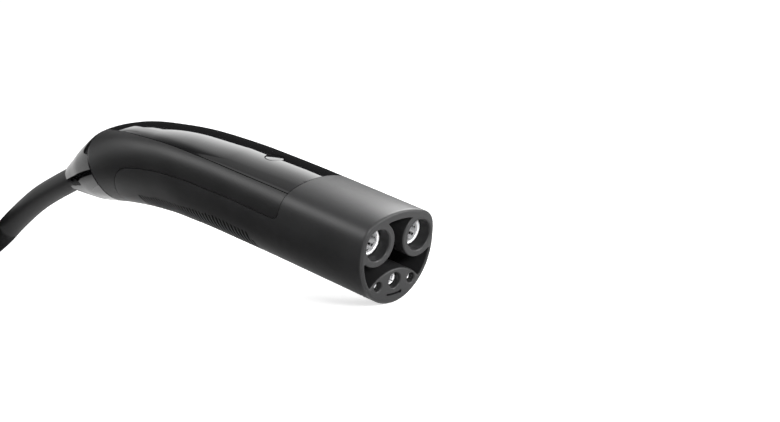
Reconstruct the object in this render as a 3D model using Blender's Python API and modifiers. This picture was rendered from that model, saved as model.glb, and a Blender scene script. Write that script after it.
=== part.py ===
"""An EV charging plug: a curved handle with a five-socket face, and its cable.

Everything of the handle is modelled along the nose: the face is the plane X = 0, the handle runs
towards -X, +Z is up and Y is the symmetry direction. An empty then lays the handle down as it rests,
nose edge on the floor and rear carried by its stiff cable. The cable lies on that floor.
"""

import math

import bmesh
import bpy
from mathutils import Euler, Matrix, Vector

mm = 0.001

# Clearance between pieces that touch, and the angle from which an edge is shaded sharp
GAP = 0.3 * mm
SHARP_EDGE = math.radians(35)

# Handle: each station gives its distance along the spine, the half width, the height above the spine,
# the depth below it, how round the section is (0 barrel, 1 ellipse) and the level of the widest line
STATIONS = [
    [0 * mm, 23.0 * mm, 13.8 * mm, 30.4 * mm, 0.0, -4.4 * mm],
    [60 * mm, 23.0 * mm, 13.8 * mm, 30.4 * mm, 0.0, -4.4 * mm],
    [98 * mm, 22.6 * mm, 13.2 * mm, 30.9 * mm, 0.0, -4.2 * mm],
    [125 * mm, 22.2 * mm, 12.3 * mm, 31.3 * mm, 0.1, -3.8 * mm],
    [150 * mm, 21.2 * mm, 13.2 * mm, 29.7 * mm, 0.4, -2.0 * mm],
    [175 * mm, 20.0 * mm, 15.7 * mm, 26.1 * mm, 0.7, -0.5 * mm],
    [198 * mm, 18.0 * mm, 16.9 * mm, 20.9 * mm, 1.0, 0.8 * mm],
    [212 * mm, 15.5 * mm, 14.4 * mm, 16.6 * mm, 1.0, 1.2 * mm],
    [225 * mm, 11.0 * mm, 11.1 * mm, 10.7 * mm, 1.0, 1.5 * mm],
    [235 * mm, 7.3 * mm, 8.8 * mm, 5.8 * mm, 1.0, 1.5 * mm],
]
BEND_START = 100 * mm
BEND_END = 216 * mm
BEND_RAMP = 30 * mm
BEND_ANGLE = math.radians(32.5)
ROOF_RADIUS = 47 * mm
SIDE_RISE = 60 * mm
CORNER_SHARPNESS = 10
SPINE_STEP = 1 * mm
SKIN_POINTS = 44
BLANK_REACH = 2 * STATIONS[0][1]

# Housings
WALL = 3.0 * mm
NOSE_FILLET = 1.5 * mm
PARTING_X = 53.3 * mm
PARTING_RAKE = math.radians(11)
PARTING_CORNER = 4.0 * mm
GRIP_LINE_RISE = 0.4 * mm
GRIP_ROUND_START = 158 * mm
GRIP_END = 182 * mm
CAP_JOINT = 198 * mm
CAP_END = STATIONS[-1][0]

# Glossy top cover
COVER_START = 52 * mm
COVER_HALF_WIDTH = 19.4 * mm
COVER_LENGTH = 149 * mm
COVER_THICKNESS = 1.5 * mm

# Release button
BUTTON_X = 82.4 * mm
BUTTON_RADIUS = 4.5 * mm
BUTTON_FLANGE = 5.6 * mm
BUTTON_FLANGE_THICKNESS = 1.0 * mm
BUTTON_STEM = 1.6 * mm
BUTTON_TRAVEL = 0.8 * mm

# Face: sockets and the three-armed cavity
PITCH = 26 * mm
POWER_RADIUS = 7.05 * mm
TUBE_RADIUS = 10.4 * mm
GROUND_Z = -19.1 * mm
GROUND_RADIUS = 3.57 * mm
PILOT_Y = 10.5 * mm
PILOT_Z = -20.1 * mm
PILOT_RADIUS = 2.25 * mm
MOUTH_CHAMFER = 0.7 * mm
CAVITY_DEPTH = 27 * mm
CAVITY_SIDE_WALL = 2.2 * mm
CAVITY_TOP_WALL = 4.1 * mm
WEB_RADIUS = 21.5 * mm
WEB_TOP_Z = -13.4 * mm
SLOT_RADIUS = 30 * mm
SLOT_BOTTOM_Z = -25.6 * mm
SLOT_HALF_LENGTH = 4.3 * mm
SLOT_WIDTH = 0.7 * mm
SLOT_DEPTH = 2.0 * mm

# Contacts, as depths behind the face
POWER_TIP = 6.8 * mm
POWER_BORE = 5.2 * mm
POWER_BORE_DEPTH = 30 * mm
POWER_FINGERS = 8
FINGER_GAP = 0.8 * mm
FINGER_END = 21 * mm
RING_DEPTH = 9.6 * mm
RING_WIRE = 0.35 * mm
FLANGE_DEPTH = 31 * mm
FLANGE_SPACE = 3 * mm
FLANGE_EXTRA = 1.0 * mm
POWER_SHANK = 5.2 * mm
CRIMP_LENGTH = 12 * mm
POWER_CRIMP = 4.2 * mm
POWER_WIRE = 2.3 * mm
SMALL_BORE_DEPTH = 20 * mm
SMALL_FINGER_END = 14 * mm
CRIMP_FLOOR = 1.5 * mm
GROUND_TIP = 4.5 * mm
GROUND_WIRE = 1.7 * mm
PILOT_TIP = 4.5 * mm
PILOT_WIRE = 0.8 * mm
CARRIER_LENGTH = 11 * mm
CARRIER_SCREWS = (5.0 * mm, -9.5 * mm)
CARRIER_SCREW_BITE = 4 * mm
SENSOR_RADIUS = 1.5 * mm
SENSOR_LENGTH = 6 * mm

# Depths that follow from the contacts: the face's solid block, then the crimps behind the carrier
CRIMP_BEHIND_CARRIER = 5 * mm
NOSE_BLOCK = FLANGE_DEPTH + FLANGE_SPACE
CRIMP_START = NOSE_BLOCK + CARRIER_LENGTH + CRIMP_BEHIND_CARRIER
CRIMP_END = CRIMP_START + CRIMP_LENGTH

# Inner frame, board and switch
FRAME_BOTTOM = 3.0 * mm
FRAME_THICKNESS = 1.4 * mm
FRAME_BEHIND_CRIMPS = 1 * mm
FRAME_START = CRIMP_END + FRAME_BEHIND_CRIMPS
FRAME_END = BUTTON_X + 35.6 * mm
BOARD_HALF_WIDTH = 12 * mm
BOARD_THICKNESS = 1.6 * mm
BOARD_BEHIND_FRAME = 3 * mm
BOARD_SCREW_FROM_EDGE = 4 * mm
BOARD_START = FRAME_START + BOARD_BEHIND_FRAME
BOARD_END = BUTTON_X + 29.6 * mm
SWITCH_SIZE = 6.0 * mm
SWITCH_HEIGHT = 2.4 * mm
PLUNGER_RADIUS = 1.5 * mm
SPRING_WIRE = 0.35 * mm
SPRING_TURNS = 4

# Screws
SCREW_SHANK = 1.25 * mm
SCREW_HEAD = 2.4 * mm
SCREW_HEAD_HEIGHT = 1.5 * mm

# Cable and its entry
CABLE_RADIUS = 6.25 * mm
CABLE_START = 205 * mm
CABLE_LEVEL = 1.5 * mm
CLAMP_START = 205.3 * mm
CLAMP_LENGTH = 6 * mm
CLAMP_RADIUS = 8.3 * mm
CLAMP_EAR = 11.6 * mm
CLAMP_EAR_HEIGHT = 3.0 * mm
CLAMP_SCREW_Y = 9.9 * mm
CLAMP_SCREW_SHANK = 1.0 * mm
CLAMP_SCREW_HEAD = 1.7 * mm
SEAL_START = 216.5 * mm
SEAL_LENGTH = 6 * mm
SEAL_RADIUS = 8.3 * mm

# How the plug lies, and the cable's stored length: a long coil of two straight runs and two half turns
NOSE_DOWN = math.radians(16)
COIL_NEAR_X = -240 * mm
COIL_STRAIGHT = 150 * mm
COIL_MIDDLE_RADIUS = 43.75 * mm
COIL_TURNS_WIDE = 2
COIL_TURNS_HIGH = 4
COIL_CORNER = 4 * mm
COIL_STEPS = 14
TIE_WIDTH = 16 * mm
TIE_THICKNESS = 1.2 * mm
TIE_FROM_END = 9 * mm
GLAND_HEX = 13 * mm
GLAND_THREAD = 11 * mm
GLAND_NUT_LENGTH = 14 * mm
GLAND_BODY_LENGTH = 16 * mm
JACKET_SHORT_OF_GLAND = 4 * mm
LEAD_LENGTH = 45 * mm
LUG_LENGTH = 24 * mm
LUG_BARREL = 9 * mm
LUG_STOP = 2 * mm
LUG_WALL = 0.9 * mm
LUG_PALM = 4.5 * mm
LUG_HOLE = 2.2 * mm


def clear_scene():
    for old in list(bpy.data.objects):
        bpy.data.objects.remove(old, do_unlink=True)


clear_scene()
plug = bpy.data.collections.new("ev_charging_plug")
cutters = bpy.data.collections.new("cutters")
bpy.context.scene.collection.children.link(plug)
bpy.context.scene.collection.children.link(cutters)
cutters.hide_render = True

rest = bpy.data.objects.new("handle_at_rest", None)
plug.objects.link(rest)


def finish(name, color, roughness, metallic=0.0):
    """A Principled material."""
    made = bpy.data.materials.new(name)
    made.use_nodes = True
    shader = made.node_tree.nodes["Principled BSDF"]
    shader.inputs["Base Color"].default_value = (*color, 1.0)
    shader.inputs["Roughness"].default_value = roughness
    shader.inputs["Metallic"].default_value = metallic
    return made


MATTE = finish("matte_shell", (0.020, 0.020, 0.021), 0.45)
FACE = finish("front_moulding", (0.025, 0.025, 0.026), 0.42)
GLOSS = finish("gloss_cover", (0.006, 0.006, 0.007), 0.06)
RUBBER = finish("cable_jacket", (0.022, 0.022, 0.023), 0.55)
SILVER = finish("silvered_copper", (0.86, 0.87, 0.88), 0.18, 1.0)
STEEL = finish("steel", (0.55, 0.55, 0.56), 0.3, 1.0)
INSULATOR = finish("insulator", (0.30, 0.30, 0.31), 0.5)
BOARD = finish("circuit_board", (0.02, 0.11, 0.05), 0.4)
ORANGE = finish("orange_insulation", (0.75, 0.22, 0.03), 0.45)
GREEN = finish("green_insulation", (0.05, 0.32, 0.08), 0.45)
GREY_WIRE = finish("grey_insulation", (0.35, 0.35, 0.36), 0.45)


def add(name, mesh, material, parent=rest):
    """Links a mesh as a node of the plug, shaded round except at its edges."""
    made = bpy.data.objects.new(name, mesh)
    mesh.shade_smooth()
    mesh.set_sharp_from_angle(angle=SHARP_EDGE)
    mesh.materials.append(material)
    plug.objects.link(made)
    made.parent = parent
    return made


def add_cutter(name, mesh, parent=rest):
    """Links a mesh as a hidden tool body."""
    made = bpy.data.objects.new(name, mesh)
    cutters.objects.link(made)
    made.parent = parent
    made.hide_render = True
    made.display_type = "WIRE"
    return made


def boolean(target, tool, operation="DIFFERENCE"):
    step = target.modifiers.new(tool.name, "BOOLEAN")
    step.operation = operation
    step.object = tool
    step.solver = "EXACT"
    return step


def mesh_of(name, build):
    """A mesh from a function that fills a bmesh."""
    work = bmesh.new()
    build(work)
    bmesh.ops.recalc_face_normals(work, faces=work.faces[:])
    mesh = bpy.data.meshes.new(name)
    work.to_mesh(mesh)
    work.free()
    return mesh


# The spine and the skin round it


def ramp(value):
    value = min(max(value, 0.0), 1.0)
    return value * value * (3 - 2 * value)


def bend_strength(distance):
    return ramp((distance - BEND_START) / BEND_RAMP) * ramp((BEND_END - distance) / BEND_RAMP)


def make_spine(length):
    """(x, z, slope) every SPINE_STEP: straight through the nose, then one smooth downward bend."""
    count = round(length / SPINE_STEP)
    middles = [bend_strength((i + 0.5) * SPINE_STEP) for i in range(count)]
    share = BEND_ANGLE / sum(middles)
    x = z = slope = 0.0
    points = [(x, z, slope)]
    for strength in middles:
        turn = share * strength
        x -= math.cos(slope + turn / 2) * SPINE_STEP
        z -= math.sin(slope + turn / 2) * SPINE_STEP
        slope += turn
        points.append((x, z, slope))
    return points


SPINE = make_spine(CAP_END + 10 * mm)


def spine_at(distance):
    """The spine between its points, and straight on past either end."""
    place = min(max(distance / SPINE_STEP, 0.0), len(SPINE) - 1.0)
    i = min(int(place), len(SPINE) - 2)
    x, z, slope = (a + (b - a) * (place - i) for a, b in zip(SPINE[i], SPINE[i + 1]))
    beyond = distance - place * SPINE_STEP
    return x - math.cos(slope) * beyond, z - math.sin(slope) * beyond, slope


def at(distance, across=0.0, above=0.0):
    """A point given along, across and square to the spine."""
    x, z, slope = spine_at(distance)
    return Vector((x - above * math.sin(slope), across, z + above * math.cos(slope)))


def station(distance, column):
    """A smooth curve through one column of the stations, never past its neighbours' values."""
    last = len(STATIONS) - 1
    distance = min(max(distance, STATIONS[0][0]), STATIONS[last][0])
    i = 0
    while i < last - 1 and distance > STATIONS[i + 1][0]:
        i += 1

    def rise(j):
        low, high = STATIONS[j], STATIONS[j + 1]
        return (high[column] - low[column]) / (high[0] - low[0])

    def tangent(j):
        if j in (0, last):
            return rise(min(j, last - 1))
        before, after = rise(j - 1), rise(j)
        return 0.0 if before * after <= 0 else 2 * before * after / (before + after)

    low, high = STATIONS[i], STATIONS[i + 1]
    span = high[0] - low[0]
    u = (distance - low[0]) / span
    start = (2 * u**3 - 3 * u**2 + 1) * low[column] + (u**3 - 2 * u**2 + u) * span * tangent(i)
    end = (3 * u**2 - 2 * u**3) * high[column] + (u**3 - u**2) * span * tangent(i + 1)
    return start + end


def section(angle, width, top, bottom, roundness, widest):
    """One point of the handle's section: straight sides under a flat roof, or an ellipse, or between."""
    side = math.sin(angle)
    up = math.cos(angle)
    reach = SIDE_RISE if up > 0 else bottom + widest
    wall = 1 / math.hypot(side / width, up / reach)
    drop = widest - (top - ROOF_RADIUS)
    roof = math.sqrt((drop * up) ** 2 - drop**2 + ROOF_RADIUS**2) - drop * up
    barrel = (wall**-CORNER_SHARPNESS + roof**-CORNER_SHARPNESS) ** (-1 / CORNER_SHARPNESS)
    height = top - widest if up > 0 else bottom + widest
    oval = 1 / math.hypot(side / width, up / height)
    radius = (1 - roundness) * barrel + roundness * oval
    return radius * side, widest + radius * up


def ring(distance, inset=0.0, count=SKIN_POINTS):
    """The section at a distance along the spine, drawn in by an inset."""
    width, top, bottom, roundness, widest = (station(distance, c) for c in range(1, 6))
    points = []
    for i in range(count):
        across, above = section(
            math.tau * i / count, width - inset, top - inset, bottom - inset, roundness, widest
        )
        points.append(at(distance, across, above))
    return points


def loft(name, rings):
    """A closed solid through rings of equal count, with flat ends."""

    def build(work):
        rows = [[work.verts.new(point) for point in points] for points in rings]
        count = len(rows[0])
        for low, high in zip(rows, rows[1:]):
            for i in range(count):
                j = (i + 1) % count
                work.faces.new((low[i], low[j], high[j], high[i]))
        work.faces.new(rows[0][::-1])
        work.faces.new(rows[-1])

    return mesh_of(name, build)


def steps(start, end, longest):
    count = max(1, math.ceil((end - start) / longest - 1e-6))
    return [start + (end - start) * i / count for i in range(count + 1)]


def skin_stops(start, end):
    """Distances for the rings: few along the straight nose, closer where the handle bends and tapers."""
    marks = [start] + [m for m in (60 * mm, BEND_START, BEND_END) if start < m < end] + [end]
    stops = [start]
    for low, high in zip(marks, marks[1:]):
        longest = 40 * mm if high <= 60 * mm else 9 * mm if high > BEND_START else 20 * mm
        stops += steps(low, high, longest)[1:]
    return stops


def skin(name, inset, start, end, count=SKIN_POINTS):
    return loft(name, [ring(stop, inset, count) for stop in skin_stops(start, end)])


def outer_body():
    """The housings' common outer form, with the rounded edge round the face."""
    rings = []
    for i in range(3):
        turn = math.pi / 6 * i
        rings.append(ring(NOSE_FILLET * (1 - math.cos(turn)), NOSE_FILLET * (1 - math.sin(turn))))
    stops = skin_stops(NOSE_FILLET, CAP_JOINT - GAP / 2)
    return loft("outer_body", rings + [ring(stop) for stop in stops])


# Tool bodies shared by the housings


def prism(name, outline, low, high, axes):
    """A closed solid: a flat outline given as pairs, carried from low to high along the third axis."""

    def build(work):
        ends = []
        for level in (low, high):
            verts = []
            for u, v in outline:
                point = [0.0, 0.0, 0.0]
                point[axes[0]], point[axes[1]], point[3 - axes[0] - axes[1]] = u, v, level
                verts.append(work.verts.new(point))
            ends.append(verts)
        bottom, top = ends
        count = len(bottom)
        for i in range(count):
            j = (i + 1) % count
            work.faces.new((bottom[i], bottom[j], top[j], top[i]))
        work.faces.new(bottom[::-1])
        work.faces.new(top)

    return mesh_of(name, build)


def upper_outline(grow):
    """Side view of the upper housing's reach: the parting line and the line over the grip.

    A positive grow makes it larger by that much all round.
    """
    far = 60 * mm
    points = [(-PARTING_X + grow + far * math.tan(PARTING_RAKE), far)]
    line_z = station(PARTING_X, 5) + GRIP_LINE_RISE - grow
    front_x = -PARTING_X + grow + line_z * math.tan(PARTING_RAKE)
    corner = PARTING_CORNER
    for i in range(6):
        turn = (math.pi / 2 - PARTING_RAKE) * i / 5
        x = front_x - corner * (1 - math.cos(turn))
        points.append((x, line_z + corner * (1 - math.sin(turn))))
    for stop in steps(60 * mm, GRIP_ROUND_START, 7 * mm):
        level = station(stop, 5) + GRIP_LINE_RISE - grow
        place = at(stop, 0, level)
        points.append((place.x, place.z))
    start_level = station(GRIP_ROUND_START, 5) + GRIP_LINE_RISE - grow
    reach = GRIP_END - GRIP_ROUND_START - grow
    drop = 15 * mm
    for i in range(1, 7):
        turn = math.pi / 2 * i / 6
        place = at(
            GRIP_ROUND_START + reach * math.sin(turn),
            0,
            start_level - drop * (1 - math.cos(turn)),
        )
        points.append((place.x, place.z))
    tail = at(GRIP_END - grow + 2 * mm, 0, -far)
    points.append((tail.x, tail.z))
    points.append((-400 * mm, -150 * mm))
    points.append((-400 * mm, far))
    return points


def cover_outline(grow):
    """Plan view of the glossy cover: parallel sides that close in to a rounded tip."""
    half = []
    for i in range(19):
        u = math.sin(math.pi / 2 * i / 18)
        across = (COVER_HALF_WIDTH + grow) * math.sqrt(max(1 - u**3, 0.0))
        half.append((-COVER_START - (COVER_LENGTH + grow) * u, across))
    tip = (half.pop()[0], 0.0)
    front = [(0.0, half[0][1])]
    side = front + half
    return side + [tip] + [(x, -y) for x, y in reversed(side)]


def add_joined(meshes):
    """One mesh of several closed bodies that stand clear of each other."""
    work = bmesh.new()
    for mesh in meshes:
        work.from_mesh(mesh)
        bpy.data.meshes.remove(mesh)
    joined = bpy.data.meshes.new("joined")
    work.to_mesh(joined)
    work.free()
    return joined


def rod(radius, start, end, y=0.0, z=0.0, sides=24):
    """A closed cylinder along X, between two depths behind the face."""
    work = bmesh.new()
    place = Matrix.Translation((-(start + end) / 2, y, z)) @ Matrix.Rotation(math.pi / 2, 4, "Y")
    bmesh.ops.create_cone(
        work, cap_ends=True, segments=sides, radius1=radius, radius2=radius, depth=end - start, matrix=place
    )
    mesh = bpy.data.meshes.new("rod")
    work.to_mesh(mesh)
    work.free()
    return mesh


def post(radius, x, y, low, high, sides=24):
    """A closed upright cylinder."""
    work = bmesh.new()
    place = Matrix.Translation((x, y, (low + high) / 2))
    bmesh.ops.create_cone(
        work, cap_ends=True, segments=sides, radius1=radius, radius2=radius, depth=high - low, matrix=place
    )
    mesh = bpy.data.meshes.new("post")
    work.to_mesh(mesh)
    work.free()
    return mesh


def block(low, high):
    """A box between two corners."""
    work = bmesh.new()
    size = [b - a for a, b in zip(low, high)]
    middle = [(a + b) / 2 for a, b in zip(low, high)]
    place = Matrix.Translation(middle) @ Matrix.Diagonal((*size, 1.0))
    bmesh.ops.create_cube(work, size=1.0, matrix=place)
    mesh = bpy.data.meshes.new("block")
    work.to_mesh(mesh)
    work.free()
    return mesh


def turned(name, profile, material, y=0.0, z=0.0, sides=24, tool=False):
    """A turned piece along the nose axis; the profile is (depth, radius), deeper along its outer side."""
    mesh = bpy.data.meshes.new(name)
    points = [(radius, 0.0, depth) for depth, radius in reversed(profile)]
    closed = profile[0][1] > 0 or profile[-1][1] > 0
    edges = [(i, i + 1) for i in range(len(points) - 1)]
    if closed:
        edges.append((len(points) - 1, 0))
    mesh.from_pydata(points, edges, [])
    made = add_cutter(name, mesh) if tool else add(name, mesh, material)
    made.location = (0.0, y, z)
    made.rotation_euler = Euler((0.0, -math.pi / 2, 0.0))
    turn = made.modifiers.new("turn", "SCREW")
    turn.axis = "Z"
    turn.steps = turn.render_steps = sides
    turn.use_merge_vertices = True
    turn.merge_threshold = 0.00001
    turn.use_smooth_shade = False
    return made


OUTER = outer_body()
INNER_TOOL = add_cutter("inner_space", skin("inner_space", WALL, NOSE_BLOCK, CAP_JOINT + 2 * mm, 36))


def upper_reach(name, grow):
    return add_cutter(name, prism(name, upper_outline(grow), -40 * mm, 40 * mm, (0, 2)))


UPPER_KEEP = upper_reach("upper_keep", -GAP / 2)
UPPER_CLEAR = upper_reach("upper_clear", GAP / 2)


# Front housing


def mouth(name, radius, y, z):
    """The tool for one socket: a bore with a chamfered mouth and a wider seat for the contact's flange."""
    seat = radius + FLANGE_EXTRA + GAP
    profile = [
        (-1 * mm, 0.0),
        (-1 * mm, radius + MOUTH_CHAMFER + 1 * mm),
        (MOUTH_CHAMFER, radius),
        (FLANGE_DEPTH - GAP, radius),
        (FLANGE_DEPTH - GAP, seat),
        (NOSE_BLOCK + 1 * mm, seat),
        (NOSE_BLOCK + 1 * mm, 0.0),
    ]
    return turned(name, profile, None, y, z, 28, tool=True)


def cavity_tool():
    """The three-armed cavity: the barrel's section drawn in, less the two tubes and the lower web."""
    width = STATIONS[0][1] - CAVITY_SIDE_WALL
    top = STATIONS[0][2] - CAVITY_TOP_WALL
    bottom = STATIONS[0][3] - CAVITY_SIDE_WALL
    outline = []
    for i in range(SKIN_POINTS):
        outline.append(section(math.tau * i / SKIN_POINTS, width, top, bottom, 0.0, STATIONS[0][5]))
    tool = add_cutter("face_cavity", prism("face_cavity", outline, -CAVITY_DEPTH, 1 * mm, (1, 2)))
    for side, name in ((-1, "left"), (1, "right")):
        tube = rod(TUBE_RADIUS, -2 * mm, CAVITY_DEPTH + 1 * mm, side * PITCH / 2, 0.0, 32)
        boolean(tool, add_cutter("tube_" + name, tube))
    web = rod(WEB_RADIUS, -2 * mm, CAVITY_DEPTH + 1 * mm, 0.0, WEB_TOP_Z - WEB_RADIUS, 48)
    boolean(tool, add_cutter("lower_web", web))
    return tool


def drain_slot():
    """The thin curved slot under the ground socket."""
    centre = SLOT_BOTTOM_Z + SLOT_RADIUS
    half_turn = math.asin(SLOT_HALF_LENGTH / SLOT_RADIUS)
    outline = []
    for radius, direction in ((SLOT_RADIUS + SLOT_WIDTH / 2, 1), (SLOT_RADIUS - SLOT_WIDTH / 2, -1)):
        for i in range(7):
            turn = direction * half_turn * (1 - i / 3)
            outline.append((radius * math.sin(turn), centre - radius * math.cos(turn)))
    return add_cutter("drain_slot", prism("drain_slot", outline, -SLOT_DEPTH, 1 * mm, (1, 2)))


def front_housing():
    made = add("front_housing", OUTER.copy(), FACE)
    boolean(made, INNER_TOOL)
    boolean(made, UPPER_CLEAR)
    boolean(made, cavity_tool())
    for side, name in ((-1, "left"), (1, "right")):
        boolean(made, mouth("power_socket_" + name, POWER_RADIUS, side * PITCH / 2, 0.0))
        boolean(made, mouth("pilot_socket_" + name, PILOT_RADIUS, side * PILOT_Y, PILOT_Z))
    boolean(made, mouth("ground_socket", GROUND_RADIUS, 0.0, GROUND_Z))
    boolean(made, drain_slot())
    start, end = NOSE_BLOCK - CARRIER_SCREW_BITE, NOSE_BLOCK + 1 * mm
    holes = [rod(SCREW_SHANK + GAP, start, end, 0.0, z, 12) for z in CARRIER_SCREWS]
    boolean(made, add_cutter("carrier_screw_holes", add_joined(holes)))
    return made


# Upper housing and its glossy cover


def roof(distance, y):
    """Height of the handle's roof over its straight stretch."""
    return station(distance, 2) - ROOF_RADIUS + math.sqrt(ROOF_RADIUS**2 - y * y)


BOSS_RADIUS = 2.8 * mm
BOSS_Y = 16.5 * mm
BOSS_X = (BUTTON_X - 8.4 * mm, BUTTON_X + 25.6 * mm)
FRAME_TOP = FRAME_BOTTOM + FRAME_THICKNESS
LEDGE = COVER_THICKNESS + GAP


def frame_screw_places():
    return [(x, side * BOSS_Y) for x in BOSS_X for side in (-1, 1)]


def cover_reach(name, grow):
    return add_cutter(name, prism(name, cover_outline(grow), -20 * mm, 60 * mm, (0, 1)))


def upper_housing():
    made = add("upper_housing", OUTER.copy(), MATTE)
    boolean(made, INNER_TOOL)
    boolean(made, UPPER_KEEP, "INTERSECT")
    bosses = []
    holes = []
    for x, y in frame_screw_places():
        top = roof(x, BOSS_Y) - (WALL + LEDGE) / 2
        bosses.append(post(BOSS_RADIUS, -x, y, FRAME_TOP + GAP, top, 16))
        holes.append(post(SCREW_SHANK + GAP, -x, y, 0.0, top - 1 * mm, 12))
    boolean(made, add_cutter("frame_bosses", add_joined(bosses)), "UNION")
    recess = cover_reach("cover_recess", GAP)
    boolean(recess, add_cutter("under_cover", skin("under_cover", LEDGE, 0.0, CAP_JOINT + 8 * mm)))
    boolean(made, recess)
    boolean(made, add_cutter("frame_boss_holes", add_joined(holes)))
    opening = post(BUTTON_FLANGE + GAP, -BUTTON_X, 0.0, 0.0, 20 * mm)
    boolean(made, add_cutter("button_flange_opening", opening))
    return made


def top_cover():
    made = add("top_cover", OUTER.copy(), GLOSS)
    underside = skin("cover_underside", COVER_THICKNESS, -5 * mm, CAP_JOINT + 8 * mm)
    boolean(made, add_cutter("cover_underside", underside))
    boolean(made, UPPER_KEEP, "INTERSECT")
    boolean(made, cover_reach("cover_keep", 0.0), "INTERSECT")
    opening = post(BUTTON_RADIUS + GAP, -BUTTON_X, 0.0, 0.0, 20 * mm)
    boolean(made, add_cutter("button_opening", opening))
    return made


# Release button, its spring and switch

BOARD_BOTTOM = FRAME_TOP + GAP
BOARD_TOP = BOARD_BOTTOM + BOARD_THICKNESS
BUTTON_TOP = roof(BUTTON_X, BUTTON_RADIUS)
FLANGE_TOP = roof(BUTTON_X, BUTTON_FLANGE) - COVER_THICKNESS - GAP
FLANGE_BOTTOM = FLANGE_TOP - BUTTON_FLANGE_THICKNESS
SWITCH_BOTTOM = BOARD_TOP + GAP
SWITCH_TOP = SWITCH_BOTTOM + SWITCH_HEIGHT
PLUNGER_BOTTOM = SWITCH_TOP - BUTTON_TRAVEL
PLUNGER_TOP = SWITCH_TOP + BUTTON_TRAVEL + 0.1 * mm


def upright(name, profile, material, sides=28):
    """A turned piece on the button's axis; the profile is (radius, height) down its outer side."""
    mesh = bpy.data.meshes.new(name)
    mesh.from_pydata([(r, 0.0, z) for r, z in profile], [(i, i + 1) for i in range(len(profile) - 1)], [])
    made = add(name, mesh, material)
    made.location = (-BUTTON_X, 0.0, 0.0)
    turn = made.modifiers.new("turn", "SCREW")
    turn.axis = "Z"
    turn.steps = turn.render_steps = sides
    turn.use_merge_vertices = True
    turn.merge_threshold = 0.00001
    turn.use_smooth_shade = False
    return made


def release_button():
    edge = 0.3 * mm
    upright(
        "release_button",
        [
            (0.0, BUTTON_TOP),
            (BUTTON_RADIUS - edge, BUTTON_TOP),
            (BUTTON_RADIUS, BUTTON_TOP - edge),
            (BUTTON_RADIUS, FLANGE_TOP),
            (BUTTON_FLANGE, FLANGE_TOP),
            (BUTTON_FLANGE, FLANGE_BOTTOM),
            (BUTTON_STEM, FLANGE_BOTTOM),
            (BUTTON_STEM, PLUNGER_TOP + GAP),
            (0.0, PLUNGER_TOP + GAP),
        ],
        GLOSS,
    )
    upright(
        "switch_plunger",
        [
            (0.0, PLUNGER_TOP),
            (PLUNGER_RADIUS, PLUNGER_TOP),
            (PLUNGER_RADIUS, PLUNGER_BOTTOM),
            (0.0, PLUNGER_BOTTOM),
        ],
        INSULATOR,
        16,
    )


def push_switch():
    half = SWITCH_SIZE / 2
    body = block((-BUTTON_X - half, -half, SWITCH_BOTTOM), (-BUTTON_X + half, half, SWITCH_TOP))
    made = add("push_switch", body, INSULATOR)
    floor = PLUNGER_BOTTOM - BUTTON_TRAVEL - GAP
    bore = post(PLUNGER_RADIUS + GAP, -BUTTON_X, 0.0, floor, SWITCH_TOP + 1 * mm, 16)
    boolean(made, add_cutter("plunger_bore", bore))
    return made


def tube(name, points, radius, material, detail=2, parent=rest):
    """A wire, spring or cable: a polyline with round section and filled ends, turned into a mesh."""
    curve = bpy.data.curves.new(name, "CURVE")
    curve.dimensions = "3D"
    curve.bevel_depth = radius
    curve.bevel_resolution = detail
    curve.use_fill_caps = True
    line = curve.splines.new("POLY")
    line.points.add(len(points) - 1)
    for knot, point in zip(line.points, points):
        knot.co = (*point, 1.0)
    made = bpy.data.objects.new(name, curve)
    curve.materials.append(material)
    plug.objects.link(made)
    made.parent = parent
    return made


def smooth_route(knots, spacing):
    """Points along a smooth curve through the knots, about one spacing apart."""
    knots = [Vector(knot) for knot in knots]
    padded = [knots[0] * 2 - knots[1]] + knots + [knots[-1] * 2 - knots[-2]]
    points = []
    for before, low, high, after in zip(padded, padded[1:], padded[2:], padded[3:]):
        count = max(1, round((high - low).length / spacing))
        for i in range(count):
            u = i / count
            points.append(
                0.5
                * (
                    2 * low
                    + (high - before) * u
                    + (2 * before - 5 * low + 4 * high - after) * u**2
                    + (3 * low - before - 3 * high + after) * u**3
                )
            )
    points.append(knots[-1])
    return points


def button_spring():
    radius = math.hypot(SWITCH_SIZE, SWITCH_SIZE) / 2 + GAP + SPRING_WIRE
    low = BOARD_TOP + GAP + SPRING_WIRE
    high = FLANGE_BOTTOM - GAP - SPRING_WIRE
    points = []
    per_turn = 12
    for i in range(SPRING_TURNS * per_turn + 1):
        share = i / (SPRING_TURNS * per_turn)
        turn = math.tau * i / per_turn
        height = low + (high - low) * share
        points.append((-BUTTON_X + radius * math.cos(turn), radius * math.sin(turn), height))
    return tube("button_spring", points, SPRING_WIRE, STEEL, 1)


# Inner frame, board and their screws

BOARD_SCREW_X = (BOARD_START + BOARD_SCREW_FROM_EDGE, BOARD_END - BOARD_SCREW_FROM_EDGE)


def headed_screw(name, length, direction_down, x, y, seat, shank=SCREW_SHANK, head=SCREW_HEAD, parent=rest):
    """A screw with an upright axis: its head stands off the seat and its shank runs through it."""
    sign = -1 if direction_down else 1
    profile = [
        (0.0, -sign * SCREW_HEAD_HEIGHT),
        (head, -sign * SCREW_HEAD_HEIGHT),
        (head, 0.0),
        (shank, 0.0),
        (shank, sign * length),
        (0.0, sign * length),
    ]
    if not direction_down:
        profile = profile[::-1]
    mesh = bpy.data.meshes.new(name)
    mesh.from_pydata([(r, 0.0, z) for r, z in profile], [(i, i + 1) for i in range(len(profile) - 1)], [])
    made = add(name, mesh, STEEL, parent)
    made.location = (x, y, seat)
    turn = made.modifiers.new("turn", "SCREW")
    turn.axis = "Z"
    turn.steps = turn.render_steps = 12
    turn.use_merge_vertices = True
    turn.merge_threshold = 0.00001
    turn.use_smooth_shade = False
    return made


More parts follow.
